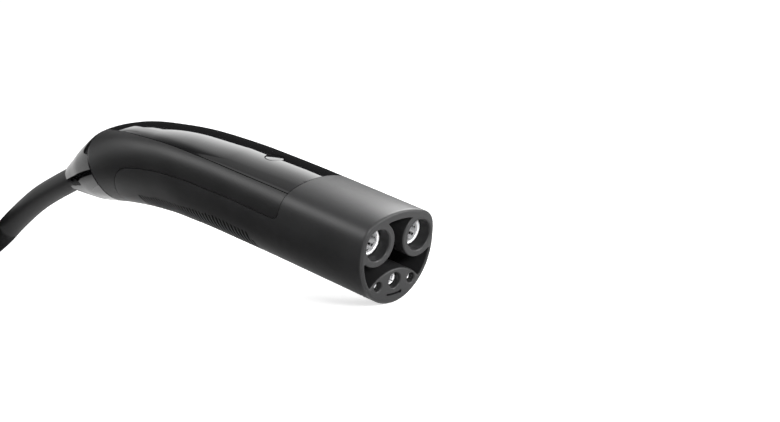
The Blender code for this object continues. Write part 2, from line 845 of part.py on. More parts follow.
def inner_frame():
    plate = block((-FRAME_END, -BLANK_REACH, FRAME_BOTTOM), (-FRAME_START, BLANK_REACH, FRAME_TOP))
    made = add("inner_frame", plate, INSULATOR)
    fit = skin("frame_fit", WALL + GAP, FRAME_START - 10 * mm, FRAME_END + 10 * mm, 36)
    boolean(made, add_cutter("frame_fit", fit), "INTERSECT")
    holes = [post(SCREW_SHANK + GAP, -x, y, 0.0, 10 * mm, 12) for x, y in frame_screw_places()]
    holes += [post(SCREW_SHANK + GAP, -x, 0.0, 0.0, 10 * mm, 12) for x in BOARD_SCREW_X]
    boolean(made, add_cutter("frame_screw_holes", add_joined(holes)))
    for i, (x, y) in enumerate(frame_screw_places(), 1):
        top = roof(x, BOSS_Y) - (WALL + LEDGE) / 2 - 1 * mm
        seat = FRAME_BOTTOM - GAP
        headed_screw("frame_screw_%d" % i, top - seat - GAP, False, -x, y, seat)
    return made


def circuit_board():
    board = block((-BOARD_END, -BOARD_HALF_WIDTH, BOARD_BOTTOM), (-BOARD_START, BOARD_HALF_WIDTH, BOARD_TOP))
    made = add("circuit_board", board, BOARD)
    holes = [post(SCREW_SHANK + GAP, -x, 0.0, 0.0, 10 * mm, 12) for x in BOARD_SCREW_X]
    boolean(made, add_cutter("board_screw_holes", add_joined(holes)))
    seat = BOARD_TOP + GAP
    for i, x in enumerate(BOARD_SCREW_X, 1):
        headed_screw("board_screw_%d" % i, seat - FRAME_BOTTOM + GAP, True, -x, 0.0, seat)
    return made


# Contacts and their carrier


def contact_profile(tip, outer, bore, bore_end, shank, crimp, crimp_bore, groove=0.0):
    """Sleeve with an open front bore, a flange, a shank through the carrier and an open crimp barrel."""
    lip = 0.3 * (outer - bore)
    profile = [(bore_end, 0.0), (bore_end, bore), (tip + lip, bore), (tip, bore + lip)]
    profile += [(tip, outer - lip), (tip + lip, outer)]
    if groove:
        half = RING_WIRE + GAP
        profile += [(RING_DEPTH - half, outer), (RING_DEPTH - half, groove)]
        profile += [(RING_DEPTH + half, groove), (RING_DEPTH + half, outer)]
    profile += [(FLANGE_DEPTH, outer), (FLANGE_DEPTH, outer + FLANGE_EXTRA)]
    profile += [(NOSE_BLOCK - GAP, outer + FLANGE_EXTRA), (NOSE_BLOCK - GAP, shank)]
    profile += [(CRIMP_START, shank), (CRIMP_START, crimp), (CRIMP_END, crimp), (CRIMP_END, crimp_bore)]
    profile += [(CRIMP_START + CRIMP_FLOOR, crimp_bore), (CRIMP_START + CRIMP_FLOOR, 0.0)]
    return profile


def finger_slots(y, z, inner, outer, start, end, count, width=FINGER_GAP):
    """The narrow gaps between a socket's spring fingers."""
    gaps = []
    for i in range(count):
        gap = block((-end, inner, -width / 2), (-start, outer, width / 2))
        turn = Matrix.Rotation(math.tau * (i + 0.5) / count, 4, "X")
        gap.transform(Matrix.Translation((0.0, y, z)) @ turn)
        gaps.append(gap)
    return add_joined(gaps)


def power_contact(side, name):
    y = side * PITCH / 2
    sleeve = POWER_RADIUS - GAP
    groove = sleeve - 2 * RING_WIRE - GAP
    profile = contact_profile(
        POWER_TIP,
        sleeve,
        POWER_BORE,
        POWER_BORE_DEPTH,
        POWER_SHANK,
        POWER_CRIMP,
        POWER_WIRE + GAP,
        groove,
    )
    made = turned("power_contact_" + name, profile, SILVER, y, 0.0, 24)
    inner, outer = POWER_BORE - 1 * mm, sleeve + 1 * mm
    slots = finger_slots(y, 0.0, inner, outer, POWER_TIP - 1 * mm, FINGER_END, POWER_FINGERS)
    boolean(made, add_cutter("finger_slots_" + name, slots))
    bpy.ops.mesh.primitive_torus_add(
        major_radius=sleeve - RING_WIRE,
        minor_radius=RING_WIRE,
        major_segments=32,
        minor_segments=6,
        location=(0.0, 0.0, 0.0),
    )
    torus = bpy.context.object
    mesh = torus.data
    bpy.data.objects.remove(torus)
    mesh.transform(Matrix.Translation((-RING_DEPTH, y, 0.0)) @ Matrix.Rotation(math.pi / 2, 4, "Y"))
    add("contact_ring_" + name, mesh, STEEL)
    return made


SMALL_CRIMP_WALL = 0.7 * mm


def small_contact(name, radius, tip, wire, y, z, slots):
    sleeve = radius - GAP
    bore = sleeve * 0.66
    crimp = wire + GAP + SMALL_CRIMP_WALL
    profile = contact_profile(tip, sleeve, bore, SMALL_BORE_DEPTH, crimp, crimp, wire + GAP)
    profile = [point for i, point in enumerate(profile) if i == 0 or point != profile[i - 1]]
    made = turned(name, profile, SILVER, y, z, 16)
    if slots:
        inner, outer = bore - 0.4 * mm, sleeve + 0.5 * mm
        cuts = finger_slots(y, z, inner, outer, tip - 1 * mm, SMALL_FINGER_END, slots, FINGER_GAP / 2)
        boolean(made, add_cutter(name + "_slots", cuts))
    return made


def contact_carrier():
    start = NOSE_BLOCK + GAP
    end = start + CARRIER_LENGTH
    body = block((-end, -BLANK_REACH, -BLANK_REACH), (-start, BLANK_REACH, BLANK_REACH))
    made = add("contact_carrier", body, INSULATOR)
    fit = skin("carrier_fit", WALL + GAP, NOSE_BLOCK - 10 * mm, end + 10 * mm, 36)
    boolean(made, add_cutter("carrier_fit", fit), "INTERSECT")
    before, after = start - 1 * mm, end + 1 * mm
    holes = [rod(POWER_SHANK + GAP, before, after, side * PITCH / 2, 0.0) for side in (-1, 1)]
    ground = GROUND_WIRE + SMALL_CRIMP_WALL + 2 * GAP
    pilot = PILOT_WIRE + SMALL_CRIMP_WALL + 2 * GAP
    holes += [rod(ground, before, after, 0.0, GROUND_Z, 16)]
    holes += [rod(pilot, before, after, side * PILOT_Y, PILOT_Z, 12) for side in (-1, 1)]
    holes += [rod(SCREW_SHANK + GAP, before, after, 0.0, z, 12) for z in CARRIER_SCREWS]
    boolean(made, add_cutter("carrier_holes", add_joined(holes)))
    seat = end + GAP
    for i, z in enumerate(CARRIER_SCREWS, 1):
        tip = NOSE_BLOCK - CARRIER_SCREW_BITE + GAP
        profile = [
            (tip, 0.0),
            (tip, SCREW_SHANK),
            (seat, SCREW_SHANK),
            (seat, SCREW_HEAD),
            (seat + SCREW_HEAD_HEIGHT, SCREW_HEAD),
            (seat + SCREW_HEAD_HEIGHT, 0.0),
        ]
        turned("carrier_screw_%d" % i, profile, STEEL, 0.0, z, 12)
    return made


def temperature_sensors():
    for side, name in ((-1, "left"), (1, "right")):
        z = POWER_CRIMP + GAP + SENSOR_RADIUS
        start = CRIMP_START + 1 * mm
        bead = rod(SENSOR_RADIUS, start, start + SENSOR_LENGTH, side * PITCH / 2, z, 12)
        add("temperature_sensor_" + name, bead, INSULATOR)


# Wires from the crimps to the cable; each point is distance along the spine, across, above

CABLE_END = CABLE_START - GAP
POWER_ROUTE = [
    (CRIMP_START + 2 * mm, PITCH / 2, 0 * mm),
    (CRIMP_END + 0.4 * mm, PITCH / 2, 0 * mm),
    (CRIMP_END + 3 * mm, PITCH / 2, 0 * mm),
    (74 * mm, PITCH / 2 - 1.5 * mm, -2 * mm),
    (100 * mm, 9 * mm, -5 * mm),
    (135 * mm, 6 * mm, -7 * mm),
    (170 * mm, 4 * mm, -3 * mm),
    (190 * mm, 2.9 * mm, 1.5 * mm),
    (CABLE_END, 2.5 * mm, CABLE_LEVEL + 1.2 * mm),
]
GROUND_ROUTE = [
    (CRIMP_START + 2 * mm, 0 * mm, GROUND_Z),
    (CRIMP_END + 0.4 * mm, 0 * mm, GROUND_Z),
    (CRIMP_END + 3 * mm, 0 * mm, GROUND_Z),
    (85 * mm, -0.5 * mm, -17 * mm),
    (120 * mm, -1.5 * mm, -14 * mm),
    (160 * mm, -2 * mm, -9 * mm),
    (190 * mm, -2 * mm, -2.8 * mm),
    (CABLE_END, -1.9 * mm, CABLE_LEVEL - 3.2 * mm),
]
PILOT_ROUTE = [
    (CRIMP_START + 2 * mm, -PILOT_Y, PILOT_Z),
    (CRIMP_END + 0.4 * mm, -PILOT_Y, PILOT_Z),
    (CRIMP_END + 3 * mm, -PILOT_Y, PILOT_Z),
    (85 * mm, -6 * mm, -21 * mm),
    (120 * mm, 3 * mm, -18 * mm),
    (160 * mm, 4 * mm, -11 * mm),
    (190 * mm, 2.6 * mm, -3.8 * mm),
    (CABLE_END, 2.2 * mm, CABLE_LEVEL - 3.4 * mm),
]
PROXIMITY_ROUTE = [
    (CRIMP_START + 2 * mm, PILOT_Y, PILOT_Z),
    (CRIMP_END + 0.4 * mm, PILOT_Y, PILOT_Z),
    (CRIMP_END + 2 * mm, PILOT_Y, PILOT_Z),
    (CRIMP_END + 6 * mm, 7 * mm, -15 * mm),
    (CRIMP_END + 2 * mm, 5 * mm, -6 * mm),
    (CRIMP_END - 1.4 * mm, 5 * mm, 2 * mm),
    (CRIMP_END + 0.6 * mm, 5 * mm, BOARD_BOTTOM + BOARD_THICKNESS / 2),
    (BOARD_START - GAP, 5 * mm, BOARD_BOTTOM + BOARD_THICKNESS / 2),
]


def wire(name, route, radius, material, spacing=12 * mm):
    points = [at(*place) for place in route]
    return tube(name, smooth_route(points, spacing), radius, material)


def wires():
    for side, name in ((-1, "left"), (1, "right")):
        route = [(distance, side * across, above) for distance, across, above in POWER_ROUTE]
        wire("power_wire_" + name, route, POWER_WIRE, ORANGE)
    wire("ground_wire", GROUND_ROUTE, GROUND_WIRE, GREEN)
    wire("pilot_wire", PILOT_ROUTE, PILOT_WIRE, GREY_WIRE)
    wire("proximity_wire", PROXIMITY_ROUTE, PILOT_WIRE, GREY_WIRE, 4 * mm)


# Rear cap, cable clamp and seal

CAP_WALL = 2.4 * mm
CAP_LIP = 8 * mm
CAP_LIP_WALL = 1.5 * mm
AXIS_TURN = Matrix.Rotation(-BEND_ANGLE, 4, "Y")


def on_cable(distance):
    """A frame on the cable's axis inside the cap: its X runs back along the cable, Z square to it."""
    return Matrix.Translation(at(distance, 0.0, CABLE_LEVEL)) @ AXIS_TURN


def cable_rod(radius, start, end, sides=28):
    """A closed cylinder on the cable's axis between two distances along the spine."""
    mesh = rod(radius, 0.0, end - start, 0.0, 0.0, sides)
    mesh.transform(on_cable(start))
    return mesh


def rear_cap():
    lip_inset = WALL + GAP
    rings = [ring(CAP_JOINT - CAP_LIP, lip_inset), ring(CAP_JOINT + GAP / 2, lip_inset)]
    stops = skin_stops(CAP_JOINT + GAP / 2, CAP_END)
    rings += [ring(stop) for stop in stops]
    made = add("rear_cap", loft("rear_cap", rings), GLOSS)
    inner = lip_inset + CAP_LIP_WALL
    hollow = [ring(CAP_JOINT - CAP_LIP - 1 * mm, inner, 32), ring(CAP_JOINT + 1 * mm, inner, 32)]
    hollow += [ring(stop, CAP_WALL, 32) for stop in steps(CAP_JOINT + 2 * mm, SEAL_START, 5 * mm)]
    boolean(made, add_cutter("cap_hollow", loft("cap_hollow", hollow)))
    pocket = cable_rod(SEAL_RADIUS + GAP, SEAL_START - 1 * mm, SEAL_START + SEAL_LENGTH + 2 * GAP)
    boolean(made, add_cutter("seal_pocket", pocket))
    outlet = cable_rod(CABLE_RADIUS + GAP, SEAL_START, CAP_END + 5 * mm)
    boolean(made, add_cutter("cable_outlet", outlet))
    return made


def cable_clamp():
    """Two half collars round the cable, drawn together by a screw in each pair of ears."""
    middle = CLAMP_START + CLAMP_LENGTH / 2
    frame = on_cable(middle)
    half = CLAMP_LENGTH / 2
    for sign, name in ((1, "upper"), (-1, "lower")):
        round_part = cable_rod(CLAMP_RADIUS, CLAMP_START, CLAMP_START + CLAMP_LENGTH, 24)
        collar = add("cable_clamp_" + name, round_part, INSULATOR)
        low, high = sorted((sign * GAP / 2, sign * CLAMP_EAR_HEIGHT))
        ears = block((-half, -CLAMP_EAR, low), (half, CLAMP_EAR, high))
        ears.transform(frame)
        boolean(collar, add_cutter("clamp_ears_" + name, ears), "UNION")
        low, high = sorted((sign * GAP / 2, -sign * 20 * mm))
        other_half = block((-half - 1 * mm, -20 * mm, low), (half + 1 * mm, 20 * mm, high))
        other_half.transform(frame)
        boolean(collar, add_cutter("clamp_split_" + name, other_half))
        boolean(collar, CLAMP_BORE)
        boolean(collar, CLAMP_HOLES)


CLAMP_BORE = add_cutter(
    "clamp_bore", cable_rod(CABLE_RADIUS + GAP, CLAMP_START - 1 * mm, CLAMP_START + CLAMP_LENGTH + 1 * mm)
)


def clamp_holes():
    frame = on_cable(CLAMP_START + CLAMP_LENGTH / 2)
    holes = []
    for side in (-1, 1):
        hole = post(CLAMP_SCREW_SHANK + GAP, 0.0, side * CLAMP_SCREW_Y, -10 * mm, 10 * mm, 12)
        hole.transform(frame)
        holes.append(hole)
    return add_joined(holes)


CLAMP_HOLES = add_cutter("clamp_holes", clamp_holes())


def clamp_screws():
    frame = on_cable(CLAMP_START + CLAMP_LENGTH / 2)
    for i, side in enumerate((-1, 1), 1):
        seat = CLAMP_EAR_HEIGHT + GAP
        length = 2 * CLAMP_EAR_HEIGHT
        made = headed_screw(
            "clamp_screw_%d" % i, length, True, 0.0, 0.0, 0.0, CLAMP_SCREW_SHANK, CLAMP_SCREW_HEAD
        )
        made.matrix_local = frame @ Matrix.Translation((0.0, side * CLAMP_SCREW_Y, seat))


def cable_seal():
    made = add("cable_seal", cable_rod(SEAL_RADIUS, SEAL_START + GAP, SEAL_START + SEAL_LENGTH), RUBBER)
    bore = cable_rod(CABLE_RADIUS + GAP, SEAL_START - 1 * mm, SEAL_START + SEAL_LENGTH + 1 * mm)
    boolean(made, add_cutter("seal_bore", bore))
    return made


# How the handle lies: nose edge on the floor, middle of its length over the origin


def lay_down():
    turn = Matrix.Rotation(NOSE_DOWN, 4, "Y")
    points = [turn @ Vector(vertex.co) for vertex in OUTER.vertices]
    for stop in skin_stops(CAP_JOINT, CAP_END):
        points += [turn @ point for point in ring(stop)]
    middle = (min(p.x for p in points) + max(p.x for p in points)) / 2
    floor = min(p.z for p in points)
    rest.matrix_world = Matrix.Translation((-middle, 0.0, -floor)) @ turn
    return rest.matrix_world.copy()


REST = lay_down()

# The cable from the cap to the coil, in the frame of the floor: (x, z) points chosen by hand
CABLE_ROUTE = [
    (-147.2 * mm, 40.6 * mm),
    (-171.4 * mm, 28.4 * mm),
    (-189.3 * mm, 17.7 * mm),
]
CABLE_LAST_Z = 10.5 * mm
COIL_WIDTH = COIL_TURNS_WIDE * 2 * CABLE_RADIUS
COIL_HEIGHT = COIL_TURNS_HIGH * 2 * CABLE_RADIUS
COIL_OUTER = COIL_MIDDLE_RADIUS + COIL_WIDTH / 2
COIL_INNER = COIL_MIDDLE_RADIUS - COIL_WIDTH / 2
COIL_LAP = COIL_OUTER - CABLE_RADIUS
COIL_BOTTOM = TIE_THICKNESS + GAP
COIL_TOP = COIL_BOTTOM + COIL_HEIGHT
COIL_CENTRE = Vector((COIL_NEAR_X, -COIL_LAP, 0.0))


def coil_reach():
    """How far from the near half turn's middle a straight run along its outer turn first touches it."""
    return math.sqrt(COIL_OUTER**2 - (COIL_LAP - CABLE_RADIUS) ** 2)


def cable():
    knots = [REST @ at(stop, 0.0, CABLE_LEVEL) for stop in (CABLE_START, 215 * mm, 225 * mm, CAP_END)]
    knots += [Vector((x, 0.0, z)) for x, z in CABLE_ROUTE]
    end_x = COIL_NEAR_X + coil_reach() + GAP
    knots += [Vector((end_x, 0.0, CABLE_LAST_Z))]
    return tube("cable", smooth_route(knots, 2.2 * CABLE_RADIUS), CABLE_RADIUS, RUBBER, 3, None)


def coil_line(radius, height):
    """The closed line round the coil at one radius: the near half turn, then the far one."""
    points = []
    for start, back in ((-math.pi / 2, 0.0), (math.pi / 2, COIL_STRAIGHT)):
        for i in range(COIL_STEPS + 1):
            turn = start + math.pi * i / COIL_STEPS
            place = Vector((radius * math.cos(turn) - back, radius * math.sin(turn), height))
            points.append(COIL_CENTRE + place)
    return points


def cable_coil():
    """The coil's outer shape, as wide and high as its turns."""
    corner = COIL_CORNER
    profile = [
        (COIL_OUTER - corner, COIL_TOP),
        (COIL_OUTER, COIL_TOP - corner),
        (COIL_OUTER, COIL_BOTTOM + corner),
        (COIL_OUTER - corner, COIL_BOTTOM),
        (COIL_INNER + corner, COIL_BOTTOM),
        (COIL_INNER, COIL_BOTTOM + corner),
        (COIL_INNER, COIL_TOP - corner),
        (COIL_INNER + corner, COIL_TOP),
    ]

    def build(work):
        rows = [[work.verts.new(point) for point in coil_line(*place)] for place in profile]
        count = len(rows[0])
        for low, high in zip(rows, rows[1:] + rows[:1]):
            for i in range(count):
                j = (i + 1) % count
                work.faces.new((low[i], low[j], high[j], high[i]))

    return add("cable_coil", mesh_of("cable_coil", build), RUBBER, None)


def coil_ties():
    """A band round each straight run of the coil, close to its far half turn."""
    near, far = COIL_INNER - GAP, COIL_OUTER + GAP
    half = TIE_WIDTH / 2
    back = COIL_STRAIGHT - TIE_FROM_END
    for i, side in enumerate((1, -1), 1):
        low_y, high_y = sorted((side * (near - TIE_THICKNESS), side * (far + TIE_THICKNESS)))
        top = COIL_TOP + GAP + TIE_THICKNESS
        band = block((-back - half, low_y, 0.0), (-back + half, high_y, top))
        band.transform(Matrix.Translation(COIL_CENTRE))
        made = add("coil_tie_%d" % i, band, MATTE, None)
        low_y, high_y = sorted((side * near, side * far))
        low = (-back - TIE_WIDTH, low_y, COIL_BOTTOM - GAP)
        high = (-back + TIE_WIDTH, high_y, COIL_TOP + GAP)
        space = block(low, high)
        space.transform(Matrix.Translation(COIL_CENTRE))
        boolean(made, add_cutter("tie_space_%d" % i, space, None))


# Far end, lying on the coil: the cable's tail, the gland that clamps it, the leads and their lugs

FAR_Y = COIL_CENTRE.y + COIL_MIDDLE_RADIUS
GLAND_Z = COIL_TOP + GAP + GLAND_HEX
TAIL_Z = COIL_TOP + GAP + CABLE_RADIUS
TAIL_LENGTH = 35 * mm
GLAND_START = COIL_NEAR_X - TAIL_LENGTH
JACKET_END = GLAND_START - GLAND_NUT_LENGTH - GLAND_BODY_LENGTH + JACKET_SHORT_OF_GLAND
LEADS = [
    ("line_1", -3.2 * mm, 1.4 * mm, -9.6 * mm, POWER_WIRE, ORANGE),
    ("line_2", 3.2 * mm, 1.4 * mm, 9.6 * mm, POWER_WIRE, ORANGE),
    ("ground", 0.0 * mm, -3.2 * mm, 0 * mm, GROUND_WIRE, GREEN),
]


def moved(mesh, x, y, z):
    mesh.transform(Matrix.Translation((x, y, z)))
    return mesh


def lug(name, wire, x, y, z):
    """A crimp lug on a lead's end: an open barrel and a flat palm with a bolt hole."""
    barrel = wire + GAP + LUG_WALL
    palm = LUG_LENGTH - LUG_BARREL
    mesh = moved(rod(barrel, 0.0, LUG_BARREL, 0.0, 0.0, 20), x + LUG_BARREL - LUG_STOP, y, z)
    made = add(name, mesh, SILVER, None)
    base = x - LUG_STOP
    tongue = block((-palm + LUG_PALM, -LUG_PALM, -LUG_WALL), (LUG_STOP, LUG_PALM, LUG_WALL))
    end = post(LUG_PALM, -palm + LUG_PALM, 0.0, -LUG_WALL, LUG_WALL, 20)
    boolean(made, add_cutter(name + "_tongue", moved(tongue, base, y, z), None), "UNION")
    boolean(made, add_cutter(name + "_end", moved(end, base, y, z), None), "UNION")
    hole = post(LUG_HOLE, -palm + LUG_PALM, 0.0, -5 * mm, 5 * mm, 20)
    bore = rod(wire + GAP, -LUG_BARREL - 1 * mm, -LUG_STOP + GAP, 0.0, 0.0, 20)
    boolean(made, add_cutter(name + "_hole", moved(hole, base, y, z), None))
    boolean(made, add_cutter(name + "_bore", moved(bore, base, y, z), None))


def far_end():
    knots = []
    for i in range(5):
        turn = math.pi / 2 * i / 4
        radius = COIL_LAP + (COIL_MIDDLE_RADIUS - COIL_LAP) * ramp(i / 4)
        knots.append(COIL_CENTRE + Vector((radius * math.cos(turn), radius * math.sin(turn), TAIL_Z)))
    rise = GLAND_Z - TAIL_Z
    knots[4].z = TAIL_Z + 0.1 * rise
    knots.append(Vector((GLAND_START + TAIL_LENGTH / 2, FAR_Y, TAIL_Z + 0.6 * rise)))
    knots.append(Vector((GLAND_START, FAR_Y, GLAND_Z)))
    knots.append(Vector((JACKET_END, FAR_Y, GLAND_Z)))
    tube("cable_tail", smooth_route(knots, 12 * mm), CABLE_RADIUS, RUBBER, 3, None)
    nut = rod(GLAND_HEX / math.cos(math.pi / 6), 0.0, GLAND_NUT_LENGTH, 0.0, 0.0, 6)
    nut = add("gland_nut", moved(nut, GLAND_START, FAR_Y, GLAND_Z), INSULATOR, None)
    body = rod(GLAND_THREAD, 0.0, GLAND_BODY_LENGTH)
    body_start = GLAND_START - GLAND_NUT_LENGTH - GAP
    body = add("gland_body", moved(body, body_start, FAR_Y, GLAND_Z), INSULATOR, None)
    bore = rod(CABLE_RADIUS + GAP, -2 * mm, 2 * (GLAND_NUT_LENGTH + GLAND_BODY_LENGTH))
    bore = add_cutter("gland_bore", moved(bore, GLAND_START, FAR_Y, GLAND_Z), None)
    boolean(nut, bore)
    boolean(body, bore)
    start = JACKET_END - GAP
    for name, y, z, far_y, radius, material in LEADS:
        far_z = COIL_TOP + radius + 2 * GAP + LUG_WALL
        end = start - LEAD_LENGTH
        knots = [
            Vector((start, FAR_Y + y, GLAND_Z + z)),
            Vector((start - 8 * mm, FAR_Y + y, GLAND_Z + z)),
            Vector((end + 18 * mm, FAR_Y + far_y * 0.85, far_z + 2.5 * mm)),
            Vector((end + 8 * mm, FAR_Y + far_y, far_z)),
            Vector((end, FAR_Y + far_y, far_z)),
        ]
        tube("lead_" + name, smooth_route(knots, 7 * mm), radius, material, 2, None)
        lug("lug_" + name, radius, end, FAR_Y + far_y, far_z)


def build():
    front_housing()
    upper_housing()
    top_cover()
    release_button()
    push_switch()
    button_spring()
    inner_frame()
    circuit_board()
    contact_carrier()
    for side, name in ((-1, "left"), (1, "right")):
        power_contact(side, name)
    small_contact("ground_contact", GROUND_RADIUS, GROUND_TIP, GROUND_WIRE, 0.0, GROUND_Z, 4)
    small_contact("pilot_contact", PILOT_RADIUS, PILOT_TIP, PILOT_WIRE, -PILOT_Y, PILOT_Z, 2)
    small_contact("proximity_contact", PILOT_RADIUS, PILOT_TIP, PILOT_WIRE, PILOT_Y, PILOT_Z, 2)
    temperature_sensors()
    wires()
    rear_cap()
    cable_clamp()
    clamp_screws()
    cable_seal()
    cable()
    cable_coil()
    coil_ties()
    far_end()


build()
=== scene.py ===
# %% [markdown]
# # A charging plug for electric cars
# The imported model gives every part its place. This lesson dresses it: fine skins for the housings, real
# contacts in the sockets, a cable wound for storage, and finishes made of nodes. Lengths are in metres,
# written as so many times mm. Only the cable's route and the joint's table are in plain millimetres.

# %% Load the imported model
import math
from functools import partial

import bmesh
import bpy
import numpy as np
from mathutils import Matrix, Vector


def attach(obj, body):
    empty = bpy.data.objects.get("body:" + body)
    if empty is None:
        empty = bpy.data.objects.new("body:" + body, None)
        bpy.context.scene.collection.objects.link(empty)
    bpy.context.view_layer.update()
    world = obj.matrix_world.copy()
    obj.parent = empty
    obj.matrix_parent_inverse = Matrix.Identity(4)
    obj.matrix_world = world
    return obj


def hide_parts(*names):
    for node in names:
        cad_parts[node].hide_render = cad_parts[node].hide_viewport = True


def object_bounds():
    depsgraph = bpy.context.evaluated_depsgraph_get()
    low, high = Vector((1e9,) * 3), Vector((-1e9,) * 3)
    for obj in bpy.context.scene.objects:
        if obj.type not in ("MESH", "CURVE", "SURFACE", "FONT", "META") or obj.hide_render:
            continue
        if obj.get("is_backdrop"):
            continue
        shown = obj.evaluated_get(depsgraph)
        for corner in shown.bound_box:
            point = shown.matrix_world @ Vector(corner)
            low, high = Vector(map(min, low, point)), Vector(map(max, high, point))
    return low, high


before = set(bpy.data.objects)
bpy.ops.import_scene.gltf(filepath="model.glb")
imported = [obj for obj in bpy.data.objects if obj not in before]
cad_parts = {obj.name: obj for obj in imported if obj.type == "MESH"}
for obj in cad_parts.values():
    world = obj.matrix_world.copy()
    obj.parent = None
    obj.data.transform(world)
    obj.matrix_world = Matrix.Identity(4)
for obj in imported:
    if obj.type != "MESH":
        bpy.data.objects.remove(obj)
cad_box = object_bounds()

mm = 0.001


def in_scene(name, data):
    """A new object with this data, linked to the scene."""
    made = bpy.data.objects.new(name, data)
    bpy.context.scene.collection.objects.link(made)
    return made


print("nodes in the packed model:", len(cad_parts))
print("box of the packed model:", [[round(x, 4) for x in corner] for corner in cad_box])

# %% [markdown]
# ## How the plug lies
# A maker draws the handle along its nose: the face is the plane X = 0, the handle runs towards -X and Z is
# up. The real plug lies with its nose edge on the floor, tipped forward. One matrix turns the drawing into
# the lying plug, and every mesh is moved by it at the end, so that no object needs a turn of its own.

# %% The resting place
NOSE_DOWN, NOSE_DEPTH = math.radians(16), 30.4 * mm
NOSE_PLACE = (0.113585, 0.0, 0.028822)
REST = Matrix.Translation(NOSE_PLACE) @ Matrix.Rotation(NOSE_DOWN, 4, "Y")
print("nose edge stands at", [round(x, 4) for x in REST @ Vector((0, 0, -NOSE_DEPTH))])

# %% [markdown]
# ## The camera
# The camera comes first, because it decides which details matter. Its place and lens were worked out from
# the size of the face and the sockets in the picture: a long lens, so the plug hardly narrows with distance.

# %% Place the camera
RIGHT = Vector((0.71505521, 0.69185931, 0.10013362))
DOWN = Vector((0.30420566, -0.17898845, -0.93563991))
FORWARD = Vector((-0.62940843, 0.69949541, -0.33845415))
EYE = Vector((569.677, -641.182, 321.667)) * mm
FOCAL_PIXELS, IMAGE_WIDTH, SENSOR_WIDTH = 2075.25, 780, 36.0
NEAREST_SEEN = 0.01

camera_data = bpy.data.cameras.new("camera")
camera = in_scene("camera", camera_data)
turn = Matrix((RIGHT, -DOWN, -FORWARD)).transposed().to_4x4()
camera.matrix_world = REST @ Matrix.Translation(EYE) @ turn
camera_data.sensor_width = SENSOR_WIDTH
camera_data.lens = FOCAL_PIXELS * SENSOR_WIDTH / IMAGE_WIDTH
camera_data.clip_start = NEAREST_SEEN
bpy.context.scene.camera = camera
bpy.context.scene.view_settings.view_transform = "Standard"
print("lens", round(camera_data.lens, 2), "mm at", [round(x, 3) for x in camera.matrix_world.translation])

# %% [markdown]
# ## Meshes from rings
# Most pieces here are rings of points joined by four-sided faces. A small set of helpers does that: one
# joins rings, one turns a profile about a line, one turns every face outward, one cuts a mesh with others,
# and one makes the finished piece.

# %% Helpers for rings, cuts and pieces
def outward(mesh):
    """Merges double points and turns every face outwards."""
    work = bmesh.new()
    work.from_mesh(mesh)
    bmesh.ops.remove_doubles(work, verts=work.verts[:], dist=1e-7)
    bmesh.ops.recalc_face_normals(work, faces=work.faces[:])
    work.to_mesh(mesh)
    work.free()
    return mesh


def lofted(name, rings, wrap=False):
    """A closed mesh through rings of equal count: flat ends, or a last ring that joins the first."""
    rings = np.asarray(rings, float)
    rows, columns = rings.shape[:2]
    i = np.arange(rows if wrap else rows - 1)[:, None]
    j = np.arange(columns)[None, :]
    after, beside = (i + 1) % rows, (j + 1) % columns
    corners = [i * columns + j, i * columns + beside, after * columns + beside, after * columns + j]
    faces = np.stack(np.broadcast_arrays(*corners), -1).reshape(-1, 4).tolist()
    if not wrap:
        faces.append(list(range(columns))[::-1])
        faces.append(list(range((rows - 1) * columns, rows * columns)))
    mesh = bpy.data.meshes.new(name)
    mesh.from_pydata(rings.reshape(-1, 3).tolist(), [], faces)
    return outward(mesh)


def circle(count):
    """Evenly spaced angles of one whole turn."""
    return np.linspace(0, math.tau, count, endpoint=False)


def turned(name, profile, sides=48, centre=(0.0, 0.0), upright=False, wrap=False):
    """A profile of (way, radius or radii) turned about a line that goes back from the face, or up."""
    angle = circle(sides)
    rings = []
    for way, radius in profile:
        across = [centre[0] + radius * np.cos(angle), centre[1] + radius * np.sin(angle)]
        ring = [*across, np.full(sides, way)] if upright else [np.full(sides, -way), *across]
        rings.append(np.stack(ring, -1))
    return lofted(name, rings, wrap)


def evaluated(worker):
    """A plain mesh of an object with its modifiers done, and the object taken away again."""
    bpy.context.view_layer.update()
    graph = bpy.context.evaluated_depsgraph_get()
    mesh = bpy.data.meshes.new_from_object(worker.evaluated_get(graph))
    bpy.data.objects.remove(worker)
    return mesh


def cut(mesh, *tools, operation="DIFFERENCE"):
    """The mesh after one Boolean with each tool mesh in turn."""
    for tool in tools:
        body, knife = in_scene("body", mesh), in_scene("knife", tool)
        step = body.modifiers.new("cut", "BOOLEAN")
        step.operation = operation
        step.object = knife
        step.solver = "EXACT"
        mesh = evaluated(body)
        bpy.data.objects.remove(knife)
    return mesh


def joined(meshes):
    """One mesh of several that stand clear of each other."""
    work = bmesh.new()
    for mesh in meshes:
        work.from_mesh(mesh)
    result = bpy.data.meshes.new("joined")
    work.to_mesh(result)
    work.free()
    return result


SHARP_ANGLE = math.radians(35)


def piece(name, mesh, finish, stands_for, body="plug", place=REST):
    """A finished piece at the origin: placed, smoothed, with its finish and its body."""
    mesh.transform(place)
    mesh.name = name
    mesh.materials.clear()
    mesh.materials.append(finish)
    mesh.shade_smooth()
    mesh.set_sharp_from_angle(angle=SHARP_ANGLE)
    made = in_scene(name, mesh)
    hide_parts(*stands_for)
    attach(made, body)
    print(name, len(mesh.polygons), "faces")
    return made


# %% [markdown]
# ## Finishes
# Every finish is a Principled shader whose roughness, colour and bump come from noise on Object
# coordinates. The meshes lie in their real places, so one unit of the noise is one metre and a scale of
# 2000 gives grain of about half a millimetre. Numbers that are the same all over sit on the shader itself.

